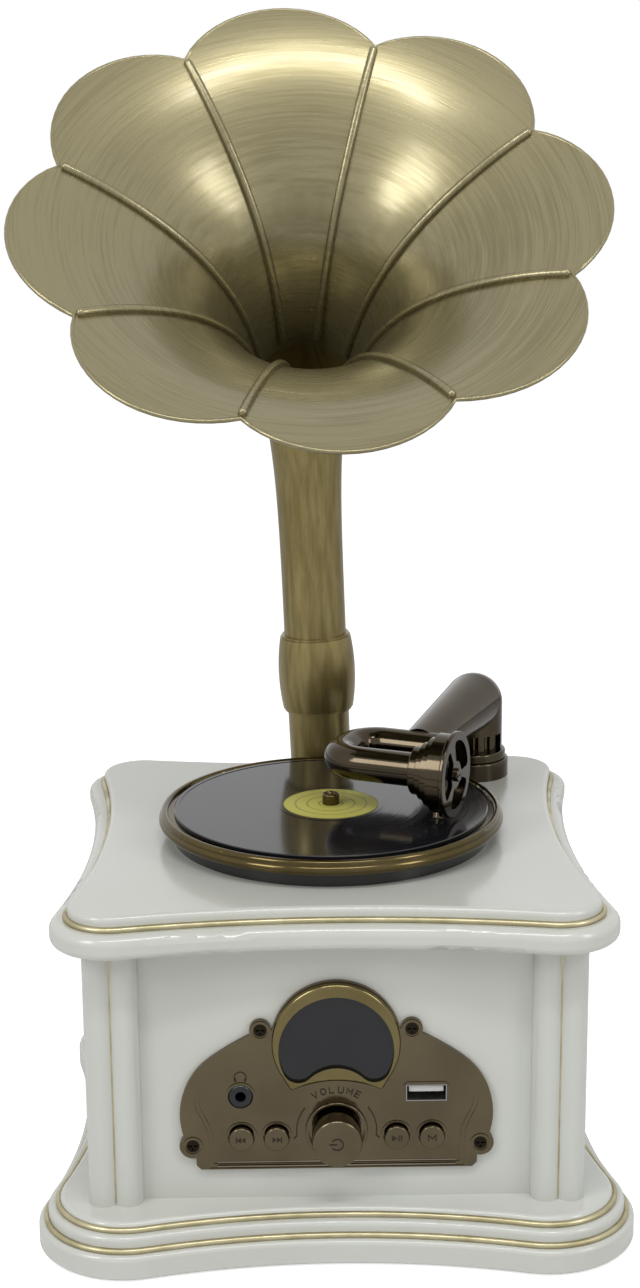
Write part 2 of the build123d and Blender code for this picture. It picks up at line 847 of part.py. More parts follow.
with BuildPart() as display_bezel:
    with BuildSketch(front_plane(plate_face)) as bezel_face:
        bezel_outline()
        fillet(bezel_face.vertices().group_by(Axis.Z)[0], 1.5)
    extrude(amount=bezel_height)
    fillet(display_bezel.faces().sort_by(Axis.Y)[0].edges(), bezel_round)
    with BuildSketch(front_plane(plate_face)):
        lens_outline(seat_gap)
    extrude(amount=bezel_height, mode=Mode.SUBTRACT)
display_bezel.part.label = "display_bezel"
export_step(display_bezel.part, "parts/display_bezel.step")

with BuildPart() as display_lens:
    with BuildSketch(front_plane(plate_face)):
        lens_outline(0)
    extrude(amount=lens_thickness)
display_lens.part.label = "display_lens"
export_step(display_lens.part, "parts/display_lens.step")

# Collar and knob: the knob can sink by its push travel before it meets the collar's floor
collar_back = panel_face - collar_floor
with BuildPart() as knob_collar:
    with BuildSketch(front_plane(collar_back)):
        with Locations((0, knob_height)):
            Circle(collar_radius)
    extrude(amount=plate_face + collar_proud - collar_back)
    fillet(knob_collar.faces().sort_by(Axis.Y)[0].edges(), 0.3)
    with BuildSketch(front_plane(panel_face)):
        with Locations((0, knob_height)):
            Circle(collar_bore)
    extrude(amount=plate_thickness + collar_proud, mode=Mode.SUBTRACT)
    with BuildSketch(front_plane(collar_back)):
        with Locations((0, knob_height)):
            Circle(encoder_shaft_radius + free_gap)
    extrude(amount=collar_floor, mode=Mode.SUBTRACT)
knob_collar.part.label = "knob_collar"
export_step(knob_collar.part, "parts/knob_collar.step")

knob_back = panel_face + knob_push + free_gap
knob_front = plate_face + knob_reach
shaft_front = knob_front - 2.0
with BuildPart() as volume_knob:
    with BuildSketch(front_plane(knob_back)):
        with Locations((0, knob_height)):
            Circle(knob_radius)
    extrude(amount=knob_front - knob_back)
    fillet(volume_knob.faces().sort_by(Axis.Y)[0].edges(), knob_edge)
    with BuildSketch(front_plane(knob_back)):
        with Locations((0, knob_height)):
            Circle(encoder_shaft_radius + press_gap)
    extrude(amount=shaft_front + press_gap - knob_back, mode=Mode.SUBTRACT)
volume_knob.part.label = "volume_knob"
export_step(volume_knob.part, "parts/volume_knob.step")

encoder_front = collar_back - seat_gap
rotor_front = encoder_front - seat_gap
rotor_back = circuit_face + encoder_floor + seat_gap
shaft_back = rotor_back + knob_push + free_gap
with BuildPart() as encoder_body:
    with BuildSketch(front_plane(circuit_face)):
        with Locations((0, knob_height)):
            Rectangle(encoder_size, encoder_size)
    extrude(amount=encoder_front - circuit_face)
    with BuildSketch(front_plane(circuit_face + encoder_floor)):
        with Locations((0, knob_height)):
            Circle(encoder_rotor_radius + running_gap)
    extrude(amount=encoder_front - circuit_face, mode=Mode.SUBTRACT)
encoder_body.part.label = "encoder_body"
export_step(encoder_body.part, "parts/encoder_body.step")

with BuildPart() as encoder_rotor:
    with BuildSketch(front_plane(rotor_back)):
        with Locations((0, knob_height)):
            Circle(encoder_rotor_radius)
            Circle(encoder_shaft_radius + running_gap, mode=Mode.SUBTRACT)
    extrude(amount=rotor_front - rotor_back)
encoder_rotor.part.label = "encoder_rotor"
export_step(encoder_rotor.part, "parts/encoder_rotor.step")

with BuildPart() as encoder_shaft:
    with BuildSketch(front_plane(shaft_back)):
        with Locations((0, knob_height)):
            Circle(encoder_shaft_radius)
    extrude(amount=shaft_front - shaft_back)
encoder_shaft.part.label = "encoder_shaft"
export_step(encoder_shaft.part, "parts/encoder_shaft.step")

# Push buttons: cap, flange behind the plate and a stem into the switch
flange_front = panel_face - free_gap
flange_back = flange_front - button_flange
switch_front = circuit_face + switch_height
stem_back = switch_front - free_gap
for button_name, place in button_places.items():
    with BuildPart() as button:
        with BuildSketch(front_plane(flange_front)):
            with Locations((place, button_height)):
                Circle(button_radius)
        extrude(amount=plate_face + button_proud - flange_front)
        fillet(button.faces().sort_by(Axis.Y)[0].edges(), button_edge)
        with BuildSketch(front_plane(flange_back)):
            with Locations((place, button_height)):
                Circle(button_flange_radius)
        extrude(amount=button_flange)
        with BuildSketch(front_plane(stem_back)):
            with Locations((place, button_height)):
                Circle(button_stem_radius)
        extrude(amount=flange_back - stem_back)
    button.part.label = "button_" + button_name
    export_step(button.part, "parts/button_" + button_name + ".step")

with BuildPart() as push_switches:
    with BuildSketch(front_plane(circuit_face)):
        with Locations(button_marks):
            Rectangle(switch_size, switch_size)
    extrude(amount=switch_height)
    with BuildSketch(front_plane(switch_front)):
        with Locations(button_marks):
            Circle(button_stem_radius + free_gap)
    extrude(amount=-switch_well, mode=Mode.SUBTRACT)
push_switches.part.label = "push_switches"
export_step(push_switches.part, "parts/push_switches.step")

# Control board with the display module, cut out round the two deep sockets
with BuildPart() as control_board:
    with BuildSketch(front_plane(circuit_face)):
        with Locations((0, circuit_bottom)):
            Rectangle(circuit_width, circuit_tall, align=(Align.CENTER, Align.MIN))
        with Locations((-jack_half, jack_height)):
            Rectangle(jack_body_width + 2 * free_gap, jack_body_tall + 2 * free_gap, mode=Mode.SUBTRACT)
        with Locations((usb_half, usb_height)):
            Rectangle(usb_width + 2 * free_gap, usb_tall + 2 * free_gap, mode=Mode.SUBTRACT)
    extrude(amount=-circuit_thickness)
    with BuildSketch(front_plane(circuit_face)):
        with Locations((0, display_height)):
            Rectangle(display_width, display_tall)
    extrude(amount=panel_face - circuit_face)
control_board.part.label = "control_board"
export_step(control_board.part, "parts/control_board.step")

jack_front = plate_face - field_depth + jack_proud
with BuildPart() as headphone_jack:
    with BuildSketch(front_plane(panel_inner)):
        with Locations((-jack_half, jack_height)):
            Circle(jack_ring_radius)
    extrude(amount=jack_front - panel_inner)
    chamfer(headphone_jack.faces().sort_by(Axis.Y)[0].edges(), 0.4)
    with BuildSketch(front_plane(panel_inner)):
        with Locations((-jack_half, jack_height)):
            Rectangle(jack_body_width, jack_body_tall)
    extrude(amount=-(jack_bore_length + jack_body_back - (jack_front - panel_inner)))
    with BuildSketch(front_plane(jack_front)):
        with Locations((-jack_half, jack_height)):
            Circle(jack_bore_radius)
    extrude(amount=-jack_bore_length, mode=Mode.SUBTRACT)
headphone_jack.part.label = "headphone_jack"
export_step(headphone_jack.part, "parts/headphone_jack.step")

usb_front = plate_face - field_depth + usb_proud
usb_back = usb_front - usb_depth
with BuildPart() as usb_socket:
    with BuildSketch(front_plane(usb_back)):
        with Locations((usb_half, usb_height)):
            Rectangle(usb_width, usb_tall)
    extrude(amount=usb_depth)
    with BuildSketch(front_plane(usb_back + 2 * usb_wall)):
        with Locations((usb_half, usb_height)):
            Rectangle(usb_width - 2 * usb_wall, usb_tall - 2 * usb_wall)
    extrude(amount=usb_depth, mode=Mode.SUBTRACT)
usb_socket.part.label = "usb_socket"
export_step(usb_socket.part, "parts/usb_socket.step")

with BuildPart() as usb_tongue:
    with BuildSketch(front_plane(usb_back + 2 * usb_wall)):
        with Locations((usb_half, usb_height + usb_tongue_rise)):
            Rectangle(usb_tongue_width, usb_tongue_thickness)
    extrude(amount=usb_depth - 2 * usb_wall - usb_tongue_recess)
usb_tongue.part.label = "usb_tongue"
export_step(usb_tongue.part, "parts/usb_tongue.step")

# Turntable, turned about the spindle
disc_top = board_top + base_disc_height
platter_bottom = disc_top + platter_lift
record_seat = platter_bottom + platter_floor
record_top = record_seat + record_thickness
spindle_axis = Axis((0, platter_y, 0), (0, 0, 1))
turn_plane = Plane(origin=(0, platter_y, 0), x_dir=(1, 0, 0), z_dir=(0, -1, 0))

with BuildPart() as turntable_base:
    with BuildSketch(Plane.XY.offset(board_top)):
        with Locations((0, platter_y)):
            Circle(base_disc_radius)
            Circle(bush_radius + seat_gap, mode=Mode.SUBTRACT)
    extrude(amount=base_disc_height)
turntable_base.part.label = "turntable_base"
export_step(turntable_base.part, "parts/turntable_base.step")

with BuildPart() as spindle_bush:
    with BuildSketch(Plane.XY.offset(board_bottom)):
        with Locations((0, platter_y)):
            Circle(bush_radius)
            Circle(spindle_radius + running_gap, mode=Mode.SUBTRACT)
    extrude(amount=disc_top - board_bottom)
spindle_bush.part.label = "spindle_bush"
export_step(spindle_bush.part, "parts/spindle_bush.step")

with BuildPart() as gear_motor:
    with BuildSketch(Plane.XY.offset(board_bottom)):
        with Locations((0, platter_y)):
            Circle(gearbox_radius)
    extrude(amount=-gearbox_height)
    with BuildSketch(Plane.XY.offset(board_bottom - gearbox_height)):
        with Locations((0, platter_y)):
            Circle(motor_radius)
    extrude(amount=-motor_height)
    fillet(gear_motor.faces().sort_by(Axis.Z)[0].edges(), 1.0)
    with BuildSketch(Plane.XY.offset(board_bottom)):
        with Locations((0, platter_y)):
            Circle(spindle_radius + running_gap)
    extrude(amount=gearbox_floor - gearbox_height, mode=Mode.SUBTRACT)
gear_motor.part.label = "gear_motor"
export_step(gear_motor.part, "parts/gear_motor.step")

spindle_foot = board_bottom - gearbox_height + gearbox_floor + free_gap
with BuildPart() as spindle:
    with BuildSketch(Plane.XY.offset(spindle_foot)):
        with Locations((0, platter_y)):
            Circle(spindle_radius)
    extrude(amount=record_seat - spindle_foot)
    with BuildSketch(Plane.XY.offset(record_seat)):
        with Locations((0, platter_y)):
            Circle(spindle_radius / 2)
    extrude(amount=record_thickness + label_thickness + cap_height / 2)
spindle.part.label = "spindle"
export_step(spindle.part, "parts/spindle.step")

bead_middle = platter_radius - platter_bead_inset
bead_top = record_top - 0.25
with BuildPart() as platter:
    with BuildSketch(turn_plane):
        with BuildLine():
            Polyline(
                (spindle_radius + press_gap, record_seat),
                (spindle_radius + press_gap, platter_bottom),
                (platter_radius - 0.8, platter_bottom),
            )
            ThreePointArc(
                (platter_radius - 0.8, platter_bottom),
                (platter_radius, platter_bottom + platter_band_height / 2),
                (platter_radius - 0.8, platter_bottom + platter_band_height),
            )
            Polyline(
                (platter_radius - 0.8, platter_bottom + platter_band_height),
                (bead_middle + platter_bead_radius, platter_bottom + platter_band_height),
                (bead_middle + platter_bead_radius, bead_top - platter_bead_radius),
            )
            ThreePointArc(
                (bead_middle + platter_bead_radius, bead_top - platter_bead_radius),
                (bead_middle, bead_top),
                (bead_middle - platter_bead_radius, bead_top - platter_bead_radius),
            )
            Polyline(
                (bead_middle - platter_bead_radius, bead_top - platter_bead_radius),
                (record_radius + 0.5, record_seat),
                (spindle_radius + press_gap, record_seat),
            )
        make_face()
    revolve(axis=spindle_axis)
platter.part.label = "platter"
export_step(platter.part, "parts/platter.step")

with BuildPart() as record:
    with BuildSketch(Plane.XY.offset(record_seat)):
        with Locations((0, platter_y)):
            Circle(record_radius)
            Circle(spindle_radius / 2 + press_gap, mode=Mode.SUBTRACT)
    extrude(amount=record_thickness)
    chamfer(record.edges().filter_by(GeomType.CIRCLE).sort_by(SortBy.RADIUS)[-2:], 0.3)
    with BuildSketch(Plane.XY.offset(record_top)):
        with Locations((0, platter_y)):
            Circle(record_radius - record_groove_margin)
            Circle(label_radius + record_groove_margin, mode=Mode.SUBTRACT)
    extrude(amount=-record_groove_depth, mode=Mode.SUBTRACT)
record.part.label = "record"
export_step(record.part, "parts/record.step")

with BuildPart() as record_label:
    with BuildSketch(Plane.XY.offset(record_top)):
        with Locations((0, platter_y)):
            Circle(label_radius)
            Circle(spindle_radius / 2 + press_gap, mode=Mode.SUBTRACT)
    extrude(amount=label_thickness)
record_label.part.label = "record_label"
export_step(record_label.part, "parts/record_label.step")

cap_bottom = record_top + label_thickness
with BuildPart() as spindle_cap:
    with BuildSketch(Plane.XY.offset(cap_bottom)):
        with Locations((0, platter_y)):
            Circle(cap_radius)
    extrude(amount=cap_height)
    fillet(spindle_cap.edges().group_by(Axis.Z)[-1], 0.5)
    with Locations((0, platter_y, cap_bottom + cap_height - 0.2)):
        Sphere(cap_nub_radius)
    with BuildSketch(Plane.XY.offset(cap_bottom)):
        with Locations((0, platter_y)):
            Circle(spindle_radius / 2 + press_gap)
    extrude(amount=cap_height / 2 + press_gap, mode=Mode.SUBTRACT)
spindle_cap.part.label = "spindle_cap"
export_step(spindle_cap.part, "parts/spindle_cap.step")


# Tonearm frame: planes that turn with the arm's bearing, at the column
def arm_point(x, y, z):
    turned = Vector(x, y, 0).rotate(Axis.Z, -arm_bearing)
    return Vector(arm_column_x, arm_column_y, arm_axis_level) + turned + Vector(0, 0, z)


def arm_plane(x, y, z, normal, right):
    # A plane in the arm's frame, given by its normal and its x direction there
    return Plane(
        origin=arm_point(x, y, z),
        x_dir=Vector(*right).rotate(Axis.Z, -arm_bearing),
        z_dir=Vector(*normal).rotate(Axis.Z, -arm_bearing),
    )


arm_axis_level = board_top + arm_axis_height
arm_base_top = board_top + arm_base_height
arm_step_top = arm_base_top + arm_step_height
arm_column_top = arm_step_top + arm_column_height
column_place = Location((arm_column_x, arm_column_y))
drum_front = box_face_x - plate_disc
drum_length = sum(width for radius, width in drum_steps)
drum_back = drum_front - drum_length
front_leg_y = -arm_length - leg_spacing

with BuildPart() as tonearm_base:
    with BuildSketch(Plane.XY.offset(board_top)):
        with Locations(column_place):
            Circle(arm_base_radius)
            Circle(pivot_radius + running_gap, mode=Mode.SUBTRACT)
    extrude(amount=arm_base_height)
    fillet(tonearm_base.edges().group_by(Axis.Z)[-1].filter_by(GeomType.CIRCLE).sort_by(SortBy.RADIUS)[-1], 0.8)
tonearm_base.part.label = "tonearm_base"
export_step(tonearm_base.part, "parts/tonearm_base.step")

with BuildPart() as arm_pivot:
    with BuildSketch(Plane.XY.offset(board_bottom - free_gap)):
        with Locations(column_place):
            Circle(pivot_head_radius)
    extrude(amount=-pivot_head_height)
    with BuildSketch(Plane.XY.offset(board_bottom - free_gap)):
        with Locations(column_place):
            Circle(pivot_radius)
    extrude(amount=arm_step_top + free_gap - board_bottom)
arm_pivot.part.label = "arm_pivot"
export_step(arm_pivot.part, "parts/arm_pivot.step")

with BuildPart() as arm_column:
    with BuildSketch(Plane.XY.offset(arm_base_top + free_gap)):
        with Locations(column_place):
            Circle(arm_step_radius)
    extrude(amount=arm_step_height - free_gap)
    fillet(arm_column.edges().group_by(Axis.Z)[-1], 0.8)
    with BuildSketch(Plane.XY.offset(arm_step_top)):
        with Locations(column_place):
            Circle(arm_column_radius)
            with PolarLocations(arm_column_radius, flute_count):
                Circle(flute_radius, mode=Mode.SUBTRACT)
    extrude(amount=arm_column_height)
    with BuildSketch(Plane.XY.offset(arm_base_top)):
        with Locations(column_place):
            Circle(pivot_radius + press_gap)
    extrude(amount=arm_step_height + press_gap, mode=Mode.SUBTRACT)
arm_column.part.label = "arm_column"
export_step(arm_column.part, "parts/arm_column.step")

# Gooseneck: out of the arm to the left, round to the front and right into the sound box
with BuildPart() as gooseneck:
    with BuildLine(arm_plane(0, 0, 0, (0, 0, 1), (1, 0, 0))) as neck_path:
        FilletPolyline(
            (back_leg_right, -arm_length),
            (-leg_left, -arm_length),
            (-leg_left, front_leg_y),
            (drum_back + neck_entry, front_leg_y),
            radius=leg_corner,
        )
    with BuildSketch(Plane(origin=neck_path.line @ 0, z_dir=neck_path.line % 0)):
        Circle(neck_radius)
    sweep()
    with Locations(arm_point(back_leg_right, -arm_length, 0)):
        Sphere(neck_radius)
gooseneck.part.label = "gooseneck"
export_step(gooseneck.part, "parts/gooseneck.step")

# Arm tube: a hood that hangs down behind the column, a round elbow and a straight that narrows to the gooseneck
with BuildPart() as arm_tube:
    with BuildSketch(arm_plane(0, 0, arm_step_top - arm_axis_level, (0, 0, 1), (1, 0, 0))):
        Circle(arm_root_radius)
    extrude(amount=arm_axis_level + arm_root_rise - arm_step_top)
    with BuildSketch(arm_plane(0, 0, arm_step_top - arm_axis_level, (0, 0, 1), (1, 0, 0))):
        Circle(arm_column_radius + seat_gap)
        Rectangle(2 * arm_root_radius, arm_root_radius, align=(Align.CENTER, Align.MAX))
    extrude(amount=arm_column_height, mode=Mode.SUBTRACT)
    with Locations(arm_point(0, 0, arm_root_rise)):
        Sphere(arm_root_radius)
    with BuildSketch(arm_plane(0, 0, arm_root_rise, (0, -arm_length, -arm_root_rise), (1, 0, 0))):
        Circle(arm_root_radius)
    with BuildSketch(arm_plane(0, -arm_length, 0, (0, -arm_length, -arm_root_rise), (1, 0, 0))):
        Circle(arm_tip_radius)
    loft()
    with BuildSketch(arm_plane(-leg_left, -arm_length, 0, (1, 0, 0), (0, 1, 0))):
        Circle(neck_radius + press_gap)
    extrude(amount=leg_left + back_leg_right, mode=Mode.SUBTRACT)
    with Locations(arm_point(back_leg_right, -arm_length, 0)):
        Sphere(neck_radius + press_gap, mode=Mode.SUBTRACT)
arm_tube.part.label = "arm_tube"
export_step(arm_tube.part, "parts/arm_tube.step")


def box_plane(x):
    # Across the sound box's axis, facing right: its x direction points back and its y direction up
    return arm_plane(x, front_leg_y, 0, (1, 0, 0), (0, 1, 0))


with BuildPart() as neck_ring:
    with BuildSketch(box_plane(drum_back - free_gap)):
        Circle(neck_ring_radius)
        Circle(neck_radius + press_gap, mode=Mode.SUBTRACT)
    extrude(amount=-neck_ring_width)
    fillet(neck_ring.edges().filter_by(GeomType.CIRCLE).sort_by(SortBy.RADIUS)[-2:], 0.4)
neck_ring.part.label = "neck_ring"
export_step(neck_ring.part, "parts/neck_ring.step")

with BuildPart() as sound_box:
    step_front = drum_front
    for radius, width in drum_steps:
        with BuildSketch(box_plane(step_front)):
            Circle(radius)
        extrude(amount=-width)
        step_front = step_front - width
    with BuildSketch(box_plane(drum_front)):
        Circle(drum_recess_radius)
    extrude(amount=-drum_recess_depth, mode=Mode.SUBTRACT)
    with BuildSketch(box_plane(drum_back)):
        Circle(neck_radius + running_gap)
    extrude(amount=neck_entry + free_gap, mode=Mode.SUBTRACT)
sound_box.part.label = "sound_box"
export_step(sound_box.part, "parts/sound_box.step")

with BuildPart() as sound_box_plate:
    with BuildSketch(box_plane(drum_front)):
        Circle(plate_radius)
    extrude(amount=plate_disc)
    fillet(sound_box_plate.edges(), 0.5)
    for turn in window_turns:
        with BuildSketch(box_plane(drum_front)) as window:
            with BuildLine():
                outer = CenterArc((0, 0), window_outer, turn - window_sweep / 2, window_sweep)
                inner = CenterArc((0, 0), window_inner, turn - window_sweep / 2, window_sweep)
                Line(outer @ 0, inner @ 0)
                Line(outer @ 1, inner @ 1)
            make_face()
            fillet(window.vertices(), 1.6)
        extrude(amount=plate_disc, mode=Mode.SUBTRACT)
sound_box_plate.part.label = "sound_box_plate"
export_step(sound_box_plate.part, "parts/sound_box_plate.step")

with BuildPart() as diaphragm:
    with BuildSketch(box_plane(drum_front - drum_recess_depth)):
        Circle(drum_recess_radius - seat_gap)
    extrude(amount=diaphragm_thickness)
    with BuildSketch(box_plane(drum_front - drum_recess_depth)):
        Circle(hub_radius)
    extrude(amount=drum_recess_depth)
diaphragm.part.label = "diaphragm"
export_step(diaphragm.part, "parts/diaphragm.step")

with BuildPart() as hub_screw:
    with BuildSketch(box_plane(box_face_x)):
        Circle(hub_radius)
    extrude(amount=hub_height)
    fillet(hub_screw.faces().sort_by(Axis.X)[-1].edges(), 0.4)
    with BuildSketch(box_plane(box_face_x + hub_height)):
        Rectangle(2 * hub_radius, 0.6)
    extrude(amount=-0.5, mode=Mode.SUBTRACT)
hub_screw.part.label = "hub_screw"
export_step(hub_screw.part, "parts/hub_screw.step")

# Needle holder: a small chuck out of the drum's rim, with the needle just above the record
holder_x = drum_front - drum_steps[0][1] / 2
drop = cos(radians(holder_angle))
lead = sin(radians(holder_angle))
needle_reach = (arm_axis_level - record_top - needle_clear) / drop
holder_seat = drum_steps[0][0] + press_gap


def holder_plane(distance):
    return arm_plane(holder_x, front_leg_y - distance * lead, -distance * drop, (0, -lead, -drop), (1, 0, 0))


with BuildPart() as needle_holder:
    with BuildSketch(holder_plane(holder_seat)):
        Circle(holder_radius)
    extrude(amount=holder_length)
    fillet(needle_holder.edges(), 0.3)
    with BuildSketch(holder_plane(holder_seat + holder_length)):
        Circle(needle_radius)
    extrude(amount=needle_reach - holder_seat - holder_length, taper=8)
needle_holder.part.label = "needle_holder"
export_step(needle_holder.part, "parts/needle_holder.step")

# Horn socket: a flange cut level with the board and a sleeve through it
with BuildPart() as horn_socket:
    with BuildSketch(horn_plane(-1.0)):
        Circle(tube_foot_radius)
    extrude(amount=1.0 + socket_flange_height)
    split(bisect_by=Plane.XY.offset(board_top), keep=Keep.TOP)
    with BuildSketch(horn_plane(socket_flange_height)):
        Circle(socket_radius)
    extrude(amount=-socket_length - socket_flange_height)
    with BuildSketch(horn_plane(-socket_length)):
        Circle(socket_bore)
    extrude(amount=socket_length + socket_flange_height, mode=Mode.SUBTRACT)
horn_socket.part.label = "horn_socket"
export_step(horn_socket.part, "parts/horn_socket.step")

# Lower tube with its plug, turned about the leaning axis
lean_plane = Plane(origin=horn_foot, x_dir=horn_plane(0).x_dir, z_dir=horn_plane(0).y_dir * -1)
lean_axis = Axis(horn_foot, horn_up)
tube_bottom = socket_flange_height + free_gap
collar_middle = collar_start + collar_length / 2
collar_end = collar_start + collar_length
with BuildPart() as horn_tube:
    with BuildSketch(lean_plane):
        with BuildLine():
            Polyline(
                (plug_bore, tube_bottom - plug_length),
                (socket_bore - running_gap, tube_bottom - plug_length),
                (socket_bore - running_gap, tube_bottom),
                (tube_foot_radius, tube_bottom),
                (tube_top_radius, collar_middle),
                (tube_top_radius - horn_wall, collar_middle),
                (tube_foot_radius - horn_wall, tube_bottom + tube_floor),
                (plug_bore, tube_bottom + tube_floor),
                close=True,
            )
        make_face()
    revolve(axis=lean_axis)
horn_tube.part.label = "horn_tube"
export_step(horn_tube.part, "parts/horn_tube.step")

with BuildPart() as horn_collar:
    with BuildSketch(lean_plane):
        with BuildLine():
            bore = tube_top_radius + press_gap
            belly_start = collar_start + horn_collar_lip
            belly_end = collar_end - horn_collar_lip
            Polyline(
                (horn_collar_waist, belly_start),
                (horn_collar_end, belly_start),
                (horn_collar_end, collar_start),
                (bore, collar_start),
                (bore, collar_end),
                (horn_collar_end, collar_end),
                (horn_collar_end, belly_end),
                (horn_collar_waist, belly_end),
            )
            ThreePointArc(
                (horn_collar_waist, belly_end),
                (horn_collar_belly, (belly_start + belly_end) / 2),
                (horn_collar_waist, belly_start),
            )
        make_face()
    revolve(axis=lean_axis)
horn_collar.part.label = "horn_collar"
export_step(horn_collar.part, "parts/horn_collar.step")

# Neck: turned along the leaning tube, lofted round the bend, and wider by a power of the way travelled
bend_length = horn_bend_radius * radians(bend_turn)
neck_run = bend_start - collar_end + bend_length


def neck_outer(travelled):
    flare = throat_radius + horn_wall - tube_top_radius
    return tube_top_radius + flare * (travelled / neck_run) ** neck_flare_power


def neck_slope(travelled):
    flare = throat_radius + horn_wall - tube_top_radius
    return flare * neck_flare_power * (travelled / neck_run) ** (neck_flare_power - 1) / neck_run


neck_shares = (0, 0.3, 0.6, 0.8, 1)
with BuildPart() as horn_neck:
    with BuildSketch(lean_plane):
        with BuildLine():
            skirt = Line((tube_top_radius, collar_middle + press_gap), (tube_top_radius, collar_end))
            flare = Spline(
                [
                    (neck_outer(share * (bend_start - collar_end)), collar_end + share * (bend_start - collar_end))
                    for share in neck_shares
                ],
                tangents=[(0, 1), (neck_slope(bend_start - collar_end), 1)],
            )
            inner_flare = Spline(
                [
                    (
                        neck_outer(share * (bend_start - collar_end)) - horn_wall,
                        collar_end + share * (bend_start - collar_end),
                    )
                    for share in neck_shares
                ],
                tangents=[(0, 1), (neck_slope(bend_start - collar_end), 1)],
            )
            Line(inner_flare @ 1, flare @ 1)
            inner_skirt = Line(skirt @ 0 - Vector(horn_wall, 0), inner_flare @ 0)
            Line(skirt @ 0, inner_skirt @ 0)
        make_face()
    revolve(axis=lean_axis)
    for mode, wall in ((Mode.ADD, 0), (Mode.SUBTRACT, horn_wall)):
        for fraction in (0, 0.2, 0.4, 0.6, 0.8, 1):
            travelled = bend_start - collar_end + fraction * bend_length
            with BuildSketch(bend_plane(fraction)):
                Circle(neck_outer(travelled) - wall)
        loft(mode=mode)
horn_neck.part.label = "horn_neck"
export_step(horn_neck.part, "parts/horn_neck.step")


# Bell: a thin wall turned about the bell's axis, trimmed to eight petals
def bell_depth(radius):
    curl = max(0.0, (radius - bell_curl_start) / bell_curl_scale)
    return -bell_decay * log((radius - bell_asymptote) / bell_spread) + bell_curl * curl**2


def bell_slope(radius):
    curl = max(0.0, (radius - bell_curl_start) / bell_curl_scale)
    return bell_decay / (radius - bell_asymptote) - 2 * bell_curl * curl / bell_curl_scale


def bell_point(radius, out):
    # A point off the inner face of the bell, out along its normal away from the axis
    slope = bell_slope(radius)
    length = sqrt(1 + slope**2)
    return (radius + out * slope / length, -bell_depth(radius) - out / length)


mouth_plane = Plane(origin=mouth, x_dir=bell_right, z_dir=bell_out)
bell_axis = Axis(mouth, bell_out)
throat_plane = mouth_plane.offset(-throat_depth)
profile_start = throat_radius - 0.8
profile_end = petal_tip_radius + 2.0
profile_radii = [profile_start + (profile_end - profile_start) * (k / 12) ** 1.6 for k in range(13)]
rib_start = throat_radius + rib_start_inset
rib_radii = [rib_start + (rib_end - rib_start) * (k / 8) ** 1.4 for k in range(9)]
petal_angle = 360 / petal_count
cusp = Vector(petal_cusp_radius, 0).rotate(Axis.Z, petal_angle / 2)
petal_centre = (petal_tip_radius**2 - petal_cusp_radius**2) / (2 * (petal_tip_radius - cusp.X))

with BuildPart() as horn_bell:
    with BuildSketch(Plane(origin=mouth, x_dir=bell_right, z_dir=bell_up * -1)):
        with BuildLine():
            inside = Spline([bell_point(radius, 0) for radius in profile_radii])
            outside = Spline([bell_point(radius, horn_wall) for radius in profile_radii])
            Line(inside @ 0, outside @ 0)
            Line(inside @ 1, outside @ 1)
        make_face()
    revolve(axis=bell_axis)
    split(bisect_by=throat_plane, keep=Keep.TOP)
    with BuildSketch(mouth_plane.offset(-throat_depth - 5)):
        with BuildLine():
            for petal in range(petal_count):
                turn = petal_turn + petal_angle * petal
                ThreePointArc(
                    cusp.rotate(Axis.Z, turn - petal_angle),
                    Vector(petal_tip_radius, 0).rotate(Axis.Z, turn),
                    cusp.rotate(Axis.Z, turn),
                )
        make_face()
    extrude(amount=throat_depth + petal_cut_reach, mode=Mode.INTERSECT)
    for petal in range(petal_count):
        turn = petal_turn + petal_angle * (petal + 0.5)
        rib_plane = Plane(
            origin=mouth, x_dir=bell_right.rotate(bell_axis, turn), z_dir=bell_up.rotate(bell_axis, turn) * -1
        )
        with BuildLine(rib_plane) as rib_path:
            Spline([bell_point(radius, -rib_rise) for radius in rib_radii])
        with BuildSketch(Plane(origin=rib_path.line @ 0, z_dir=rib_path.line % 0)):
            Circle(rib_radius)
        sweep(path=rib_path.line)
        with Locations(rib_path.line @ 1):
            Sphere(rib_radius)
horn_bell.part.label = "horn_bell"
export_step(horn_bell.part, "parts/horn_bell.step")

with BuildPart() as bell_ring:
    with BuildSketch(throat_plane):
        Circle(throat_radius + horn_wall + bell_ring_lip)
        Circle(throat_radius + horn_wall + press_gap, mode=Mode.SUBTRACT)
    extrude(amount=-bell_ring_width)
bell_ring.part.label = "bell_ring"
export_step(bell_ring.part, "parts/bell_ring.step")


# Loudspeaker: frame and magnet, and the cone inside the frame
def speaker_ring(*points):
    with BuildSketch(Plane.XY.offset(plinth_top + speaker_height)) as profile:
        with BuildLine():
            Polyline(*points, close=True)
        make_face()
    revolve(profile.sketch, axis=Axis((0, 0, plinth_top + speaker_height), (0, 1, 0)))


flange_inner = panel_inner - speaker_flange
frame_back = panel_inner - speaker_depth
with BuildPart() as speaker_frame:
    speaker_ring(
        (speaker_cone_radius, flange_inner - 0.5),
        (speaker_cone_radius, panel_inner),
        (speaker_radius, panel_inner),
        (speaker_radius, flange_inner),
        (speaker_magnet_radius + 3, frame_back),
        (speaker_magnet_radius, frame_back),
        (speaker_magnet_radius, frame_back - speaker_magnet_height),
        (0, frame_back - speaker_magnet_height),
        (0, frame_back + 1.5),
        (speaker_magnet_radius, frame_back + 1.5),
    )
speaker_frame.part.label = "speaker_frame"
export_step(speaker_frame.part, "parts/speaker_frame.step")

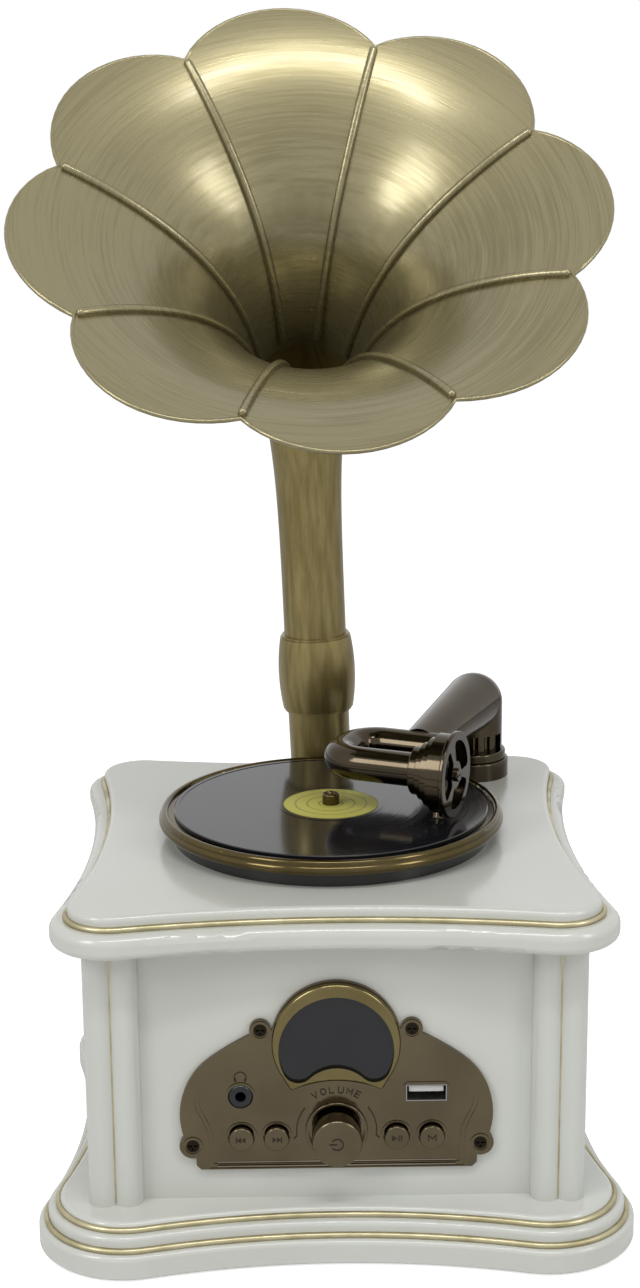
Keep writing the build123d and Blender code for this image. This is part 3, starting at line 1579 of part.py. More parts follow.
with BuildPart() as speaker_cone:
    speaker_ring(
        (0, frame_back + 4),
        (6, frame_back + 4),
        (speaker_cone_radius - 2.5, panel_inner - 1.6),
        (speaker_cone_radius - 0.6, panel_inner - 1.6),
        (speaker_cone_radius - 0.6, panel_inner - 0.4),
        (speaker_cone_radius - 3, panel_inner - 0.4),
        (6, frame_back + 6),
        (0, frame_back + 7),
    )
speaker_cone.part.label = "speaker_cone"
export_step(speaker_cone.part, "parts/speaker_cone.step")

# Power inlet in the rear panel
with BuildPart() as dc_inlet:
    with BuildSketch(rear_plane(panel_face)):
        with Locations((inlet_half, inlet_height)):
            Circle(inlet_flange_radius)
    extrude(amount=inlet_flange)
    with BuildSketch(rear_plane(panel_face)):
        with Locations((inlet_half, inlet_height)):
            Circle(inlet_radius)
    extrude(amount=-inlet_depth)
    with BuildSketch(rear_plane(panel_face + inlet_flange)):
        with Locations((inlet_half, inlet_height)):
            Circle(inlet_bore_radius)
            Circle(inlet_pin_radius, mode=Mode.SUBTRACT)
    extrude(amount=-inlet_depth + 1.0, mode=Mode.SUBTRACT)
dc_inlet.part.label = "dc_inlet"
export_step(dc_inlet.part, "parts/dc_inlet.step")

with BuildPart() as main_board:
    with BuildSketch(Plane.XY.offset(cover_top + main_board_rise)):
        with Locations((0, main_board_y)):
            Rectangle(main_board_width, main_board_depth)
    extrude(amount=circuit_thickness)
    with BuildSketch(Plane.XY.offset(cover_top + main_board_rise + circuit_thickness)):
        with Locations((-20, main_board_y)):
            Rectangle(14, 18)
        with Locations((8, main_board_y + 10), (20, main_board_y + 10)):
            Circle(4)
    extrude(amount=9)
main_board.part.label = "main_board"
export_step(main_board.part, "parts/main_board.step")
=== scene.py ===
from math import cos, log, pi, radians, sin, sqrt

import bmesh
import bpy
from mathutils import Matrix, Vector


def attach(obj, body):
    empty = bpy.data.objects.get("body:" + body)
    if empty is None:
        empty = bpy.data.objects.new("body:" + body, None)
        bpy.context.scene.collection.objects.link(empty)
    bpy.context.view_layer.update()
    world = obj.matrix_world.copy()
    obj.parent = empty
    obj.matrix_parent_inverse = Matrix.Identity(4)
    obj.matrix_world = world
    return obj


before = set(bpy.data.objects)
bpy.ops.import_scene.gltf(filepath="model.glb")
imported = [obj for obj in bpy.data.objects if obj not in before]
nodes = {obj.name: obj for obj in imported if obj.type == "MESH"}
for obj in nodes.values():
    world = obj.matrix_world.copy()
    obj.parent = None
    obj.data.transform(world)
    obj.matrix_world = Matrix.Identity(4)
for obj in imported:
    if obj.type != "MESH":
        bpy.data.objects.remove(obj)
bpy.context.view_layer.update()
scene = bpy.context.scene
scene.view_settings.view_transform = "Standard"
mm = 0.001
print("frame loaded:", len(nodes), "solids")


# Camera

camera = {
    "place": (-0.01117, -0.70099, 0.3553),
    "yaw": 0.012,  # radians, right of straight on
    "pitch": 0.240,  # radians down
    "roll": -0.008,
    "lens": 59.14,
    "sideShift": -0.0011,
    "near": 0.01,
    "far": 20,
}


def makeCamera():
    data = bpy.data.cameras.new("camera")
    data.lens = camera["lens"]
    data.shift_x = camera["sideShift"]
    data.clip_start = camera["near"]
    data.clip_end = camera["far"]
    piece = bpy.data.objects.new("camera", data)
    scene.collection.objects.link(piece)
    yaw, pitch, roll = camera["yaw"], camera["pitch"], camera["roll"]
    ahead = Vector((sin(yaw) * cos(pitch), cos(yaw) * cos(pitch), -sin(pitch)))
    right = Vector((cos(yaw), -sin(yaw), 0))
    up = right.cross(ahead)
    rolledRight = right * cos(roll) + up * sin(roll)
    rolledUp = up * cos(roll) - right * sin(roll)
    turn = Matrix((rolledRight, rolledUp, -ahead)).transposed().to_4x4()
    piece.matrix_world = Matrix.Translation(camera["place"]) @ turn
    scene.camera = piece


makeCamera()


# Small helpers for nodes and meshes

def linear(hexColour):  # sRGB hex to the linear colour that shaders use
    parts = [int(hexColour[k : k + 2], 16) / 255 for k in (1, 3, 5)]
    return [c / 12.92 if c <= 0.04045 else ((c + 0.055) / 1.055) ** 2.4 for c in parts] + [1.0]


def grey(level):
    return [level, level, level, 1.0]


def add(tree, kind, values=None, links=None, **settings):
    node = tree.nodes.new(kind)
    for name, value in settings.items():
        setattr(node, name, value)
    for name, value in (values or {}).items():
        node.inputs[name].default_value = value
    for name, source in (links or {}).items():
        tree.links.new(source, node.inputs[name])
    return node


def stops(node, places):  # colours along a Color Ramp
    elements = node.color_ramp.elements
    while len(elements) < len(places):
        elements.new(0.5)
    for element, (place, colour) in zip(elements, places):
        element.position = place
        element.color = linear(colour) if isinstance(colour, str) else colour
    return node.outputs["Color"]


def newMaterial(name, roughness, metallic=0.0, colour=None):
    material = bpy.data.materials.new(name)
    material.use_nodes = True
    tree = material.node_tree
    shader = tree.nodes["Principled BSDF"]
    shader.inputs["Roughness"].default_value = roughness
    shader.inputs["Metallic"].default_value = metallic
    if colour:
        shader.inputs["Base Color"].default_value = linear(colour)
    return material, tree, shader


def objectPlace(tree):
    return add(tree, "ShaderNodeTexCoord").outputs["Object"]


def meshPiece(name, mesh, material, body, smooth=True):
    piece = bpy.data.objects.new(name, mesh)
    scene.collection.objects.link(piece)
    mesh.materials.clear()
    mesh.materials.append(material)
    mesh.polygons.foreach_set("use_smooth", [smooth] * len(mesh.polygons))
    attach(piece, body)
    return piece


# Materials

def makeWhiteLacquer():  # sprayed lacquer on board: soft gloss with a faint orange peel
    look = {
        "colour": "#CDCFC9",
        "shade": "#C8C9C1",
        "cloudScale": 9.0,
        "roughness": 0.24,
        "peel": 3.0,  # width of a ripple, mm
        "peelDepth": 0.2,
        "peelStrength": 0.04,
        "coat": 0.35,
        "coatRoughness": 0.1,
    }
    material, tree, shader = newMaterial("whiteLacquer", look["roughness"])
    place = objectPlace(tree)
    patch = {"Scale": look["cloudScale"], "Detail": 3.0}
    cloud = add(tree, "ShaderNodeTexNoise", patch, {"Vector": place})
    tint = add(tree, "ShaderNodeValToRGB", links={"Fac": cloud.outputs["Fac"]})
    tones = [(0.35, look["shade"]), (0.65, look["colour"])]
    tree.links.new(stops(tint, tones), shader.inputs["Base Color"])
    ripple = {"Scale": 1 / (look["peel"] * mm), "Detail": 1.0}
    peel = add(tree, "ShaderNodeTexNoise", ripple, {"Vector": place})
    height = {"Height": peel.outputs["Fac"]}
    relief = {"Strength": look["peelStrength"], "Distance": look["peelDepth"] * mm}
    bump = add(tree, "ShaderNodeBump", relief, height)
    tree.links.new(bump.outputs["Normal"], shader.inputs["Normal"])
    shader.inputs["Coat Weight"].default_value = look["coat"]
    shader.inputs["Coat Roughness"].default_value = look["coatRoughness"]
    return material


def makeGoldPaint():  # metallic gold paint: soft shine, a little uneven
    look = {
        "colour": "#B9B191",
        "dark": "#9F9673",
        "patch": 9.0,  # mm
        "roughness": 0.36,
        "dull": 0.45,
        "bright": 0.3,
    }
    material, tree, shader = newMaterial("goldPaint", look["roughness"], 1.0)
    place = objectPlace(tree)
    patch = {"Scale": 1 / (look["patch"] * mm), "Detail": 4.0}
    cloud = add(tree, "ShaderNodeTexNoise", patch, {"Vector": place})
    tint = add(tree, "ShaderNodeValToRGB", links={"Fac": cloud.outputs["Fac"]})
    tones = [(0.3, look["dark"]), (0.62, look["colour"])]
    tree.links.new(stops(tint, tones), shader.inputs["Base Color"])
    rough = add(tree, "ShaderNodeValToRGB", links={"Fac": cloud.outputs["Fac"]})
    gloss = [(0.3, grey(look["dull"])), (0.7, grey(look["bright"]))]
    tree.links.new(stops(rough, gloss), shader.inputs["Roughness"])
    return material


def makeBrushedBrass(name, look, origin, turn):
    # antique brass, brushed in rings round the axis and lacquered: soft streaks round the horn
    material, tree, shader = newMaterial(name, look["roughness"], look["metallic"])
    place = objectPlace(tree)
    local = add(tree, "ShaderNodeMapping", links={"Vector": place}, vector_type="TEXTURE")
    local.inputs["Location"].default_value = origin
    local.inputs["Rotation"].default_value = turn
    parts = add(tree, "ShaderNodeSeparateXYZ", links={"Vector": local.outputs["Vector"]})
    across = {"X": parts.outputs["X"], "Y": parts.outputs["Y"]}
    flat = add(tree, "ShaderNodeCombineXYZ", links=across)
    level = {"Vector": flat.outputs["Vector"]}
    spoke = add(tree, "ShaderNodeVectorMath", links=level, operation="NORMALIZE")
    spread = add(tree, "ShaderNodeVectorMath", {"Scale": look["ringCells"]}, operation="SCALE")
    tree.links.new(spoke.outputs["Vector"], spread.inputs[0])
    whole = {"Vector": local.outputs["Vector"]}
    length = add(tree, "ShaderNodeVectorMath", links=whole, operation="LENGTH")
    count = add(tree, "ShaderNodeMath", {1: 1 / (look["streak"] * mm)}, operation="MULTIPLY")
    tree.links.new(length.outputs["Value"], count.inputs[0])
    axial = add(tree, "ShaderNodeCombineXYZ", links={"Z": count.outputs["Value"]})
    both = add(tree, "ShaderNodeVectorMath", operation="ADD")
    tree.links.new(spread.outputs["Vector"], both.inputs[0])
    tree.links.new(axial.outputs["Vector"], both.inputs[1])
    streaks = add(tree, "ShaderNodeTexNoise", {"Scale": 1.0, "Detail": 3.0, "Roughness": 0.6})
    tree.links.new(both.outputs["Vector"], streaks.inputs["Vector"])
    patch = {"Scale": look["cloudScale"], "Detail": 2.0}
    clouds = add(tree, "ShaderNodeTexNoise", patch, {"Vector": place})
    blend = add(tree, "ShaderNodeMath", {1: look["cloudShare"]}, operation="MULTIPLY_ADD")
    tree.links.new(clouds.outputs["Fac"], blend.inputs[0])
    tree.links.new(streaks.outputs["Fac"], blend.inputs[2])
    tint = add(tree, "ShaderNodeValToRGB", links={"Fac": blend.outputs["Value"]})
    tones = [(0.52, look["dark"]), (0.66, look["colour"]), (0.86, look["light"])]
    tree.links.new(stops(tint, tones), shader.inputs["Base Color"])
    rough = add(tree, "ShaderNodeValToRGB", links={"Fac": streaks.outputs["Fac"]})
    dull = look["roughness"] + look["duller"]
    gloss = [(0.35, grey(dull)), (0.65, grey(look["roughness"]))]
    tree.links.new(stops(rough, gloss), shader.inputs["Roughness"])
    height = {"Height": streaks.outputs["Fac"]}
    relief = {"Strength": look["bump"], "Distance": look["bumpDepth"] * mm}
    bump = add(tree, "ShaderNodeBump", relief, height)
    tree.links.new(bump.outputs["Normal"], shader.inputs["Normal"])
    shader.inputs["Coat Weight"].default_value = look["coat"]
    shader.inputs["Coat Roughness"].default_value = look["coatRoughness"]
    return material


plating = {"cloudScale": 45.0, "fineScale": 900.0, "duller": 0.06}


def makeDarkPlating(name, colour, dark, roughness):  # bright nickel plating: near mirror
    material, tree, shader = newMaterial(name, roughness, 1.0)
    place = objectPlace(tree)
    patch = {"Scale": plating["cloudScale"], "Detail": 4.0}
    cloud = add(tree, "ShaderNodeTexNoise", patch, {"Vector": place})
    tint = add(tree, "ShaderNodeValToRGB", links={"Fac": cloud.outputs["Fac"]})
    tree.links.new(stops(tint, [(0.3, dark), (0.7, colour)]), shader.inputs["Base Color"])
    haze = {"Scale": plating["fineScale"], "Detail": 2.0}
    fine = add(tree, "ShaderNodeTexNoise", haze, {"Vector": place})
    rough = add(tree, "ShaderNodeValToRGB", links={"Fac": fine.outputs["Fac"]})
    gloss = [(0.3, grey(roughness)), (0.75, grey(roughness + plating["duller"]))]
    tree.links.new(stops(rough, gloss), shader.inputs["Roughness"])
    return material


spindlePlace = (0.0, -0.005, 0.0)  # metres; the record turns about it


def makeVinyl():  # pressed vinyl: black gloss with fine grooves and smooth bands
    look = {
        "groove": 0.9,  # mm, coarser than a real groove so that it shows
        "grooveDepth": 0.05,
        "grooveStrength": 0.12,
        "colour": "#17171A",
        "roughness": 0.22,
        "bright": 0.07,
        "dull": 0.16,
    }
    material, tree, shader = newMaterial("pressedVinyl", look["roughness"], 0.0, look["colour"])
    place = objectPlace(tree)
    local = add(tree, "ShaderNodeMapping", links={"Vector": place}, vector_type="TEXTURE")
    local.inputs["Location"].default_value = spindlePlace
    parts = add(tree, "ShaderNodeSeparateXYZ", links={"Vector": local.outputs["Vector"]})
    across = {"X": parts.outputs["X"], "Y": parts.outputs["Y"]}
    flat = add(tree, "ShaderNodeCombineXYZ", links=across)
    level = {"Vector": flat.outputs["Vector"]}
    radius = add(tree, "ShaderNodeVectorMath", links=level, operation="LENGTH")
    turns = add(tree, "ShaderNodeMath", {1: 1 / (look["groove"] * mm)}, operation="MULTIPLY")
    tree.links.new(radius.outputs["Value"], turns.inputs[0])
    rings = add(tree, "ShaderNodeTexNoise", {"Scale": 1.0, "Detail": 2.0}, noise_dimensions="1D")
    tree.links.new(turns.outputs["Value"], rings.inputs["W"])
    relief = {"Strength": look["grooveStrength"], "Distance": look["grooveDepth"] * mm}
    bump = add(tree, "ShaderNodeBump", relief)
    tree.links.new(rings.outputs["Fac"], bump.inputs["Height"])
    tree.links.new(bump.outputs["Normal"], shader.inputs["Normal"])
    rough = add(tree, "ShaderNodeValToRGB", links={"Fac": rings.outputs["Fac"]})
    gloss = [(0.4, grey(look["bright"])), (0.6, grey(look["dull"]))]
    tree.links.new(stops(rough, gloss), shader.inputs["Roughness"])
    return material


def makeLabelPaper():  # yellow-green paper label, printed with thin rings
    look = {
        "colour": "#B9B457",
        "ink": "#8B873E",
        "ring": 4.1,  # mm between two rings
        "ringsPerUnit": 3.18,  # that the wave pattern makes at a scale of one
        "grainScale": 700.0,
        "grainShare": 0.2,
        "roughness": 0.55,
    }
    material, tree, shader = newMaterial("labelPaper", look["roughness"])
    place = objectPlace(tree)
    local = add(tree, "ShaderNodeMapping", links={"Vector": place}, vector_type="TEXTURE")
    local.inputs["Location"].default_value = spindlePlace
    waves = add(
        tree,
        "ShaderNodeTexWave",
        {"Scale": 1 / (look["ring"] * mm) / look["ringsPerUnit"], "Distortion": 0.0},
        {"Vector": local.outputs["Vector"]},
        wave_type="RINGS",
        rings_direction="Z",
    )
    pulp = {"Scale": look["grainScale"], "Detail": 3.0}
    grain = add(tree, "ShaderNodeTexNoise", pulp, {"Vector": place})
    fibre = add(tree, "ShaderNodeMath", {1: look["grainShare"]}, operation="MULTIPLY_ADD")
    tree.links.new(grain.outputs["Fac"], fibre.inputs[0])
    tree.links.new(waves.outputs["Fac"], fibre.inputs[2])
    tint = add(tree, "ShaderNodeValToRGB", links={"Fac": fibre.outputs["Value"]})
    tones = [(0.1, look["ink"]), (0.22, look["colour"])]
    tree.links.new(stops(tint, tones), shader.inputs["Base Color"])
    return material


def makeDisplayAcrylic():  # printed acrylic over an unlit display: deep navy, clear gloss
    look = {"colour": "#0F1117", "dark": "#0B0C11", "cloudScale": 60.0, "roughness": 0.06}
    material, tree, shader = newMaterial("displayAcrylic", look["roughness"])
    place = objectPlace(tree)
    patch = {"Scale": look["cloudScale"], "Detail": 2.0}
    cloud = add(tree, "ShaderNodeTexNoise", patch, {"Vector": place})
    tint = add(tree, "ShaderNodeValToRGB", links={"Fac": cloud.outputs["Fac"]})
    tones = [(0.3, look["dark"]), (0.7, look["colour"])]
    tree.links.new(stops(tint, tones), shader.inputs["Base Color"])
    return material


grainRelief = {"Strength": 0.15, "Distance": 0.05 * mm}


def makePlain(name, colour, dark, roughness, metallic, grain):
    # moulded, turned or woven, with a fine grain whose size is given in millimetres
    material, tree, shader = newMaterial(name, roughness, metallic)
    place = objectPlace(tree)
    grains = {"Scale": 1 / (grain * mm), "Detail": 3.0}
    speck = add(tree, "ShaderNodeTexNoise", grains, {"Vector": place})
    tint = add(tree, "ShaderNodeValToRGB", links={"Fac": speck.outputs["Fac"]})
    tree.links.new(stops(tint, [(0.3, dark), (0.7, colour)]), shader.inputs["Base Color"])
    bump = add(tree, "ShaderNodeBump", grainRelief)
    tree.links.new(speck.outputs["Fac"], bump.inputs["Height"])
    tree.links.new(bump.outputs["Normal"], shader.inputs["Normal"])
    return material


# Frames of the leaning horn, as the solids have them, in millimetres and degrees

horn = {
    "foot": (-2.35, 67.0, 118.0),
    "lean": 2.03,
    "corner": 141.2,  # up the tube to the bend
    "elevation": 47.1,
    "azimuth": 2.6,
    "mouth": 91.9,  # from the bend to the mouth
}
hornUp = Vector((-sin(radians(horn["lean"])), 0, cos(radians(horn["lean"]))))
hornFoot = Vector(horn["foot"]) * mm
bellOut = Vector(
    (
        cos(radians(horn["elevation"])) * sin(radians(horn["azimuth"])),
        -cos(radians(horn["elevation"])) * cos(radians(horn["azimuth"])),
        sin(radians(horn["elevation"])),
    )
)
bellRight = Vector((cos(radians(horn["azimuth"])), sin(radians(horn["azimuth"])), 0))
bellUp = bellOut.cross(bellRight)
mouth = hornFoot + hornUp * horn["corner"] * mm + bellOut * horn["mouth"] * mm
bellTurn = Matrix((bellRight, bellUp, bellOut)).transposed().to_4x4()
bellFrame = Matrix.Translation(mouth) @ bellTurn
leanTurn = Matrix.Rotation(radians(-horn["lean"]), 4, "Y")

bellLook = {
    "colour": "#7D7555",
    "dark": "#786F4F",
    "light": "#8A8262",
    "ringCells": 2.5,
    "streak": 0.7,  # mm, coarser than real brushing so that it shows
    "cloudScale": 14.0,
    "cloudShare": 0.6,
    "metallic": 0.75,  # under a full metal, as its clear lacquer scatters some light
    "roughness": 0.27,
    "duller": 0.04,  # added to the roughness in the darker streaks
    "bump": 0.03,
    "bumpDepth": 0.1,
    "coat": 0.35,
    "coatRoughness": 0.12,
}
neckLook = {
    "colour": "#86784B",
    "dark": "#7A6C41",
    "light": "#948659",
    "ringCells": 5.0,
    "streak": 18.0,
    "cloudScale": 14.0,
    "cloudShare": 0.3,
    "metallic": 0.8,
    "roughness": 0.32,
    "duller": 0.04,  # added to the roughness in the darker streaks
    "bump": 0.0,
    "bumpDepth": 0.1,
    "coat": 0.2,
    "coatRoughness": 0.12,
}

# Platings mirror the room, tinted from gold to near black. Mouldings and steel are satin, mica
# is half bright, and rubber and cone paper are matt.
whiteLacquer = makeWhiteLacquer()
goldPaint = makeGoldPaint()
bellBrass = makeBrushedBrass("brushedBellBrass", bellLook, mouth, bellTurn.to_euler())
neckBrass = makeBrushedBrass("satinNeckBrass", neckLook, hornFoot, leanTurn.to_euler())
pearlNickel = makeDarkPlating("pearlNickelPlating", "#6A604C", "#5D5443", 0.10)
bezelNickel = makeDarkPlating("goldenNickelPlating", "#7A6F4C", "#6C6241", 0.13)
# raised marks in the plating, made darker than it in place of the shade at their edges: painted
# shade
paintedShadeMarks = makePlain("paintedShadeMarks", "#332D24", "#29241C", 0.4, 0.6, 1.0)
platterNickel = makeDarkPlating("platterPlating", "#5E5337", "#4B4129", 0.10)
armNickel = makeDarkPlating("tonearmPlating", "#4C4437", "#40392E", 0.09)
pressedVinyl = makeVinyl()
labelPaper = makeLabelPaper()
displayAcrylic = makeDisplayAcrylic()
softRubber = makePlain("softRubber", "#1B1B1B", "#121212", 0.7, 0.0, 0.8)
turnedSteel = makePlain("turnedSteel", "#A8A8A6", "#8E8E8C", 0.3, 1.0, 0.5)
circuitBoard = makePlain("circuitBoard", "#1F5A33", "#184826", 0.4, 0.0, 2.0)
whiteMoulding = makePlain("whiteMoulding", "#D8D8D4", "#CECECA", 0.35, 0.0, 1.0)
blackMoulding = makePlain("blackMoulding", "#17181A", "#101113", 0.4, 0.0, 1.0)
jackMoulding = makePlain("jackMoulding", "#0E1116", "#090B0E", 0.3, 0.0, 1.0)
screwPlating = makeDarkPlating("blackScrewPlating", "#2C2720", "#221E18", 0.18)
# a lighter copy of the plating for the two lines under the buttons: painted highlight
paintedHighlightNickel = makeDarkPlating("paintedHighlightPlating", "#8F897A", "#7C7667", 0.10)
# near black, for the base under the platter: a real part whose dark colour stands in for the shadow
# under the platter, painted shade
paintedShadeLacquer = makePlain("paintedShadeLacquer", "#191714", "#11100D", 0.25, 0.0, 4.0)
micaSheet = makePlain("micaSheet", "#6B665A", "#545044", 0.3, 0.3, 5.0)
conePaper = makePlain("conePaper", "#26262A", "#1A1A1C", 0.8, 0.0, 1.2)
print("materials made")

finishes = {
    whiteLacquer: "plinth pillars front_panel side_panels rear_panel top_board",
    goldPaint: "plinth_beads pillar_stripes board_bead",
    bellBrass: "horn_bell bell_ring",
    neckBrass: "horn_tube horn_collar horn_neck",
    bezelNickel: "display_bezel",
    screwPlating: "fascia_screws",
    pearlNickel: "fascia knob_collar volume_knob "
    "button_previous button_next button_play button_mode",
    platterNickel: "platter spindle_cap horn_socket",
    armNickel: "tonearm_base arm_column arm_tube gooseneck neck_ring sound_box sound_box_plate "
    "hub_screw needle_holder",
    pressedVinyl: "record",
    labelPaper: "record_label",
    displayAcrylic: "display_lens",
    softRubber: "feet",
    turnedSteel: "base_screws tie_rods encoder_shaft spindle arm_pivot usb_socket spindle_bush "
    "gear_motor speaker_frame",
    circuitBoard: "control_board main_board",
    whiteMoulding: "usb_tongue",
    blackMoulding: "base_cover encoder_body encoder_rotor push_switches dc_inlet",
    jackMoulding: "headphone_jack",
    paintedShadeLacquer: "turntable_base",
    micaSheet: "diaphragm",
    conePaper: "speaker_cone",
}
for material, names in finishes.items():
    for name in names.split():
        mesh = nodes[name].data
        mesh.materials.clear()
        mesh.materials.append(material)
print("solids finished:", sum(len(names.split()) for names in finishes.values()))


# Marks and fine pieces, built as meshes over the solids

front = {  # depths of the faces in front of the box's middle, in millimetres
    "buttonFace": 78.2,
    "knobFace": 85.8,
    "field": 75.6,
    "plateFace": 76.2,
    "rise": 0.16,  # how far the marks stand proud
    "sink": 0.05,  # how far they reach into the face
}


def ribbon(bm, points, width, near, far, closed=False):
    # A flat band of even width through 2-D points, closed between two depths on the front
    count = len(points)
    rings = []
    for k, point in enumerate(points):
        before = points[(k - 1) % count] if closed or k > 0 else point
        after = points[(k + 1) % count] if closed or k < count - 1 else point
        one = (Vector(point) - Vector(before)).normalized()
        two = (Vector(after) - Vector(point)).normalized()
        along = (one + two).normalized()
        side = Vector((-along.y, along.x))
        lean = max(0.5, side.dot(Vector((-two.y, two.x)))) if one.length and two.length else 1.0
        left = Vector(point) + side * (width / 2 / lean)
        right = Vector(point) - side * (width / 2 / lean)
        corners = [(left, near), (left, far), (right, far), (right, near)]
        rings.append([bm.verts.new((u * mm, -depth * mm, v * mm)) for (u, v), depth in corners])
    last = count if closed else count - 1
    for k in range(last):
        here, there = rings[k], rings[(k + 1) % count]
        for m in range(4):
            bm.faces.new((here[m], here[(m + 1) % 4], there[(m + 1) % 4], there[m]))
    if not closed:
        bm.faces.new(rings[0])
        bm.faces.new(list(reversed(rings[-1])))


def plate(bm, corners, near, far):  # a flat many-sided plate between two depths
    back = [bm.verts.new((u * mm, -near * mm, v * mm)) for u, v in corners]
    face = [bm.verts.new((u * mm, -far * mm, v * mm)) for u, v in corners]
    count = len(corners)
    for k in range(count):
        bm.faces.new((back[k], back[(k + 1) % count], face[(k + 1) % count], face[k]))
    bm.faces.new(face)
    bm.faces.new(list(reversed(back)))


def arc(centre, radius, start, sweep, steps):
    turns = [radians(start + sweep * k / steps) for k in range(steps + 1)]
    return [(centre[0] + radius * cos(t), centre[1] + radius * sin(t)) for t in turns]


def finish(name, bm, material, body, smooth=False):
    bmesh.ops.recalc_face_normals(bm, faces=bm.faces)
    mesh = bpy.data.meshes.new(name)
    bm.to_mesh(mesh)
    bm.free()
    return meshPiece(name, mesh, material, body, smooth)


buttonMarks = {
    "height": 38.9,
    "places": {"previous": -30.7, "next": -19.35, "play": 19.35, "mode": 30.7},
    "tall": 1.9,
    "stroke": 0.42,
    "triangle": 1.3,
    "skipStarts": (-1.35, 0.05),
    "skipBar": 1.55,
    "playTriangle": (-1.6, 0.1),
    "playBars": (0.7, 1.5),
}


def makeButtonMarks():
    # two triangles and a bar to skip, a triangle and two bars to play, an M for mode
    near, far = front["buttonFace"] - front["sink"], front["buttonFace"] + front["rise"]
    z, h, stroke = buttonMarks["height"], buttonMarks["tall"] / 2, buttonMarks["stroke"]
    for name, x in buttonMarks["places"].items():
        bm = bmesh.new()
        if name in ("previous", "next"):
            way = -1 if name == "previous" else 1
            for offset in buttonMarks["skipStarts"]:
                base = x + way * offset
                tip = base + way * buttonMarks["triangle"]
                plate(bm, [(base, z - h), (tip, z), (base, z + h)], near, far)
            bar = x + way * buttonMarks["skipBar"]
            ribbon(bm, [(bar, z - h), (bar, z + h)], stroke, near, far)
        elif name == "play":
            base, tip = (x + offset for offset in buttonMarks["playTriangle"])
            plate(bm, [(base, z - h), (tip, z), (base, z + h)], near, far)
            for offset in buttonMarks["playBars"]:
                ribbon(bm, [(x + offset, z - h), (x + offset, z + h)], stroke, near, far)
        else:
            letter = [(-1.2, -1), (-1.2, 1), (0, -0.3), (1.2, 1), (1.2, -1)]
            ribbon(bm, [(x + u, z + v * h) for u, v in letter], stroke, near, far)
        finish(name + "Mark", bm, paintedShadeMarks, "button_" + name)


knobCentre = (0.0, 40.8)
powerMark = {"radius": 1.9, "stroke": 0.42, "gap": 70.0, "bar": (1.35, 0.1), "steps": 28}


def makePowerMark():  # an open ring and a bar, lying on its side as the knob is turned
    near, far = front["knobFace"] - front["sink"], front["knobFace"] + front["rise"]
    u, v = knobCentre
    bm = bmesh.new()
    start = 180 + powerMark["gap"] / 2
    sweep = 360 - powerMark["gap"]
    ring = arc((u, v), powerMark["radius"], start, sweep, powerMark["steps"])
    ribbon(bm, ring, powerMark["stroke"], near, far)
    reach, inset = powerMark["bar"]
    bar = [(u - powerMark["radius"] * reach, v), (u - inset, v)]
    ribbon(bm, bar, powerMark["stroke"], near, far)
    finish("powerMark", bm, paintedShadeMarks, "volume_knob")


dialMarks = {
    "arcs": ((38, -46), (142, 46)),  # start and sweep in degrees
    "tick": (1.08, -0.9),  # how far an arc's last tick goes out and down
    "radius": 12.9,
    "stroke": 0.4,
    "letterRadius": 13.4,
    "letterTall": 2.1,
    "letterStep": 11.5,  # degrees from one letter to the next
    "letterWide": 0.8,  # of its height
    "letterStroke": 0.36,
    "steps": 14,
}
letters = {  # strokes of the word over the knob, in a box 1 wide and 1 tall
    "V": [[(0, 1), (0.5, 0), (1, 1)]],
    "O": [
        [(0.5, 0), (0.9, 0.15), (1, 0.5), (0.9, 0.85), (0.5, 1), (0.1, 0.85), (0, 0.5), (0.1, 0.15)]
    ],
    "L": [[(0, 1), (0, 0), (0.9, 0)]],
    "U": [[(0, 1), (0, 0.25), (0.25, 0), (0.75, 0), (1, 0.25), (1, 1)]],
    "M": [[(0, 0), (0, 1), (0.5, 0.3), (1, 1), (1, 0)]],
    "E": [[(0.9, 1), (0, 1), (0, 0), (0.9, 0)], [(0, 0.5), (0.8, 0.5)]],
}


def makeDialMarks():  # two arcs with ticks round the knob's collar, and the word volume above
    near, far = front["field"] - front["sink"], front["field"] + front["rise"]
    bm = bmesh.new()
    radius, stroke = dialMarks["radius"], dialMarks["stroke"]
    away, down = dialMarks["tick"]
    for start, sweep in dialMarks["arcs"]:
        path = arc(knobCentre, radius, start, sweep, dialMarks["steps"])
        end = path[-1]
        tick = (end[0] * away, end[1] + down)
        ribbon(bm, path + [tick], stroke, near, far)
    near, far = front["plateFace"] - front["sink"], front["plateFace"] + front["rise"]
    word = "VOLUME"
    tall, base, wide = dialMarks["letterTall"], dialMarks["letterRadius"], dialMarks["letterWide"]
    for index, letter in enumerate(word):
        turn = radians(90 - (index - (len(word) - 1) / 2) * dialMarks["letterStep"])
        across = Vector((sin(turn), -cos(turn)))
        outward = Vector((cos(turn), sin(turn)))
        for path in letters[letter]:
            spots = []
            for u, v in path:
                lift, shift = base + v * tall, (u - 0.5) * tall * wide
                spot = Vector(knobCentre) + outward * lift + across * shift
                spots.append((spot.x, spot.y))
            ribbon(bm, spots, dialMarks["letterStroke"], near, far, closed=letter == "O")
    finish("dialMarks", bm, paintedShadeMarks, "cabinet")


fieldHighlightLines = {"half": 38.6, "heights": (30.1, 28.9), "width": 0.4}


def makeFieldHighlightLines():  # two lighter lines under the buttons, where the field steps up: painted highlight along the step's edges
    bm = bmesh.new()
    for height, ground in zip(fieldHighlightLines["heights"], (front["field"], front["plateFace"])):
        ends = [(-fieldHighlightLines["half"], height), (fieldHighlightLines["half"], height)]
        ribbon(bm, ends, fieldHighlightLines["width"], ground - front["sink"], ground + front["rise"])
    finish("fieldHighlightLines", bm, paintedHighlightNickel, "cabinet")


headphoneMark = {
    "centre": (-30.8, 59.6),
    "radius": 1.9,
    "stroke": 0.34,
    "sweep": (-20, 220),  # degrees
    "steps": 22,
    "padReach": 1.5,
    "padLean": 0.2,
    "padEnds": (-1.5, -0.3),
    "padStroke": 0.7,
}


